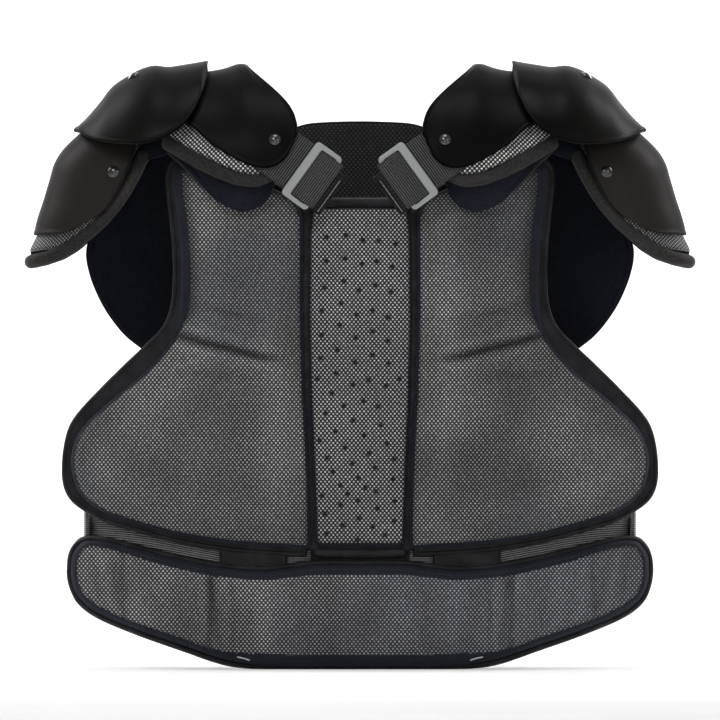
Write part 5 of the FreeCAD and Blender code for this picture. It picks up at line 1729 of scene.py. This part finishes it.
def back_pad(name, puff):
    ni, nj = 170, 230
    xz = rows_grid(BACK_PAD_HALF, ni, nj)
    x, z = xz[..., 0], xz[..., 1]
    edge = edge_distance(xz, BACK_PAD_OUTLINE)
    channel = bell(channel_dist(xz), 2.6) * smooth((edge - 3.0) / 10.0)
    depth = BACK_PAD_SEAM + 8.0 * profile(edge, 9.0) + lift_grid(ni, nj, puff) - 3.4 * channel
    # kept low where the spine plate lies on it
    under = smooth((46.0 - np.abs(x)) / 5.0) * smooth((z - 152.0) / 8.0)
    under = under * smooth((460.0 - z) / 8.0)
    depth = np.minimum(depth, 17.2 + 20.0 * (1 - under))
    # painted shade in the channels and along the rounded edge; the factor 1.6 lightens the whole
    # pad
    shade = 1.6 * (1.0 - 0.55 * channel) * (0.4 + 0.6 * smooth((edge - 3.0) / 6.0))
    return cushion(name, on_back, xz, depth, BACK_PAD_BASE,
                   [MATS["back"], MATS["navy"], MATS["foam"]], cell_mean(edge) < 6.0, shade)


def spine_shell(name):
    """Moulded plate with three upright ribs and two round seats."""
    xz = rows_grid(SPINE_HALF, 60, 150, inset=0.012)
    x, z = xz[..., 0], xz[..., 1]
    edge = edge_distance(xz, mirrored_outline(SPINE_HALF))
    depth = 20.0 + 1.2 * profile(edge, 6.0) + 1.6 * smooth((edge - 6) / 16.0)
    rib_ends = smooth((z - 215.0) / 12.0) * smooth((400.0 - z) / 12.0) * smooth((edge - 6.0) / 6.0)
    for rib_x in (-15.0, 0.0, 15.0):
        depth += 1.3 * bell(x - rib_x, 2.6) * rib_ends
    for seat_z in (425.0, 190.0):
        r = np.hypot(x, z - seat_z)
        seat = np.minimum(depth, 20.8 + 2.0 * smooth((r - 6.0) / 3.0))
        depth = np.where(r < 9.0, seat, depth)
    return slab(name, on_back, xz, depth, 18.0, MATS["plate"], rim=3)


# (x, y) path of the loop at the top of the back, from its foot at -X
HANG_PATH = [(0.0, 0.0), (6.0, 5.5), (20.0, 7.0), (34.0, 7.0), (48.0, 5.5), (54.0, 0.0)]


def hanging_loop(name):
    half_width = 8
    across = np.linspace(-half_width, half_width, 25)
    rib = 0.25 * np.abs(np.cos(across / (2 * half_width) * 6 * math.pi)) ** 0.7
    base_y = float(back_y(0.0, 480.0)) + 18.4

    def place(x, y, z):
        return np.stack([x - 27.0, y + base_y, z + 486.0], -1)

    return ribbon(name, spline(HANG_PATH, 90), across, 0.5 + rib[None], -0.7, place,
                  MATS["webbing_plain"])


add(back_body("back_body"), "back_panel", ["back_lining", "back_foam"])
add(tube("back_edge_binding", on_back(inset_loop(BACK_OUTLINE, 2.0, 900), 4.3), 4.3,
         MATS["tricot_edge"], seg=14, up=BACK, flat=0.95, loop=True, wobble=0.02),
    "back_panel", ["back_binding"])
add(stitches("back_edge_stitch", on_back(inset_loop(BACK_OUTLINE, 9.0, 900), 7.6), BACK,
             MATS["thread"], length=2.6, gap=1.5, radius=0.34, loop=True),
    "back_panel", [])
add(back_pad("back_pad", inflate_back()), "back_panel", ["back_cover"])
add(spine_shell("spine_shell"), "back_panel", ["spine_plate"])
add(hanging_loop("hanging_loop_web"), "back_panel", ["hanging_loop"])

# ================================================================ carried-over CAD pieces
for node_name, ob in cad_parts.items():
    if node_name.startswith("buckle_frame"):
        mat = MATS["buckle"]
    elif "rivet" in node_name:
        mat = MATS["rivet"]
    else:
        mat = MATS["nylon"]
    ob.data.materials.clear()
    ob.data.materials.append(mat)


# ================================================================ stage
def floor_material():
    g = Graph("floor")
    tone = g.step(g.noise(scale=1.2), 0.4, 0.6)
    g.surface({"Base Color": g.mix(tone, (0.90, 0.90, 0.90), (0.93, 0.93, 0.93)),
               "Roughness": 0.9, "Specular IOR Level": 0.1})
    # the sweep lets the view through from behind
    mixer = g.node("ShaderNodeMixShader")
    output = [n for n in g.tree.nodes if n.type == "OUTPUT_MATERIAL"][0]
    g.put(mixer.inputs[0], g.node("ShaderNodeNewGeometry").outputs["Backfacing"])
    g.put(mixer.inputs[1], g.bsdf.outputs[0])
    g.put(mixer.inputs[2], g.node("ShaderNodeBsdfTransparent").outputs[0])
    g.put(output.inputs["Surface"], mixer.outputs[0])
    return g.material


def backdrop():
    """Floor that curves up into a wall behind the product."""
    floor_z, wall_foot, radius = -1.2, 1000.0, 900.0
    section = [(y, floor_z) for y in (-6000.0, -3000.0, -1200.0, 0.0, 600.0, wall_foot)]
    for k in range(1, 13):
        a = k / 12 * math.pi / 2
        section.append((wall_foot + radius * math.sin(a), floor_z + radius * (1 - math.cos(a))))
    section += [(wall_foot + radius, 3000.0), (wall_foot + radius, 5200.0)]
    xs = np.linspace(-5000, 5000, 9)
    verts = [(x, y, z) for x in xs for y, z in section]
    return make("floor", verts, quads(len(xs), len(section)), [floor_material()])


def area_light(name, location, target, size, power):
    light = bpy.data.lights.new(name, "AREA")
    light.shape = "RECTANGLE"
    light.size = size
    light.size_y = size
    light.energy = power
    ob = bpy.data.objects.new(name, light)
    bpy.context.scene.collection.objects.link(ob)
    ob.location = location
    direction = Vector(target) - Vector(location)
    ob.rotation_euler = direction.to_track_quat("-Z", "Y").to_euler()


def build_world():
    """Soft white light, with a paler background seen by the camera."""
    world = bpy.data.worlds.new("world")
    bpy.context.scene.world = world
    world.use_nodes = True
    nodes, links = world.node_tree.nodes, world.node_tree.links
    lighting = nodes["Background"]
    lighting.inputs[0].default_value = (1.0, 1.0, 1.0, 1.0)
    lighting.inputs[1].default_value = 0.34
    seen = nodes.new("ShaderNodeBackground")
    seen.inputs[0].default_value = (0.96, 0.96, 0.96, 1.0)
    seen.inputs[1].default_value = 1.0
    rays = nodes.new("ShaderNodeLightPath")
    mixer = nodes.new("ShaderNodeMixShader")
    output = [n for n in nodes if n.type == "OUTPUT_WORLD"][0]
    links.new(rays.outputs["Is Camera Ray"], mixer.inputs[0])
    links.new(lighting.outputs[0], mixer.inputs[1])
    links.new(seen.outputs[0], mixer.inputs[2])
    links.new(mixer.outputs[0], output.inputs["Surface"])


CAMERA_DISTANCE = 20.0
CAMERA_HEIGHT = 0.2926
SENSOR_WIDTH = 36.0
VIEW_WIDTH = 0.684      # width seen at the plane y = VIEW_PLANE
VIEW_PLANE = -0.1


def build_camera():
    camera = bpy.data.cameras.new("camera")
    camera.type = "PERSP"
    camera.sensor_width = SENSOR_WIDTH
    camera.lens = SENSOR_WIDTH * (CAMERA_DISTANCE + VIEW_PLANE) / VIEW_WIDTH
    camera.clip_start = 1.0
    camera.clip_end = 90.0
    ob = bpy.data.objects.new("camera", camera)
    bpy.context.scene.collection.objects.link(ob)
    ob.location = (0.0, -CAMERA_DISTANCE, CAMERA_HEIGHT)
    ob.rotation_euler = (math.pi / 2, 0.0, 0.0)
    bpy.context.scene.camera = ob


# name, location, target, size in metres, power in watts
LIGHTS = [
    ("key", (-1.1, -2.3, 2.3), (0, 0, 0.3), 1.1, 30.0),
    ("fill", (1.9, -2.2, 1.3), (0, 0, 0.3), 1.4, 11.0),
    ("top", (0.0, -0.2, 2.7), (0, 0, 0.4), 1.3, 20.0),
    ("front", (0.0, -3.8, 0.6), (0, 0, 0.3), 1.6, 12.0),
    ("sweep_left", (-1.9, 1.3, 1.7), (-0.3, 2.6, 0.7), 1.3, 50.0),
    ("sweep_right", (1.9, 1.3, 1.7), (0.3, 2.6, 0.7), 1.3, 50.0),
]

backdrop()
for light_row in LIGHTS:
    area_light(*light_row)
build_world()
bpy.context.scene.view_settings.view_transform = "Standard"
bpy.context.scene.view_settings.look = "None"
build_camera()
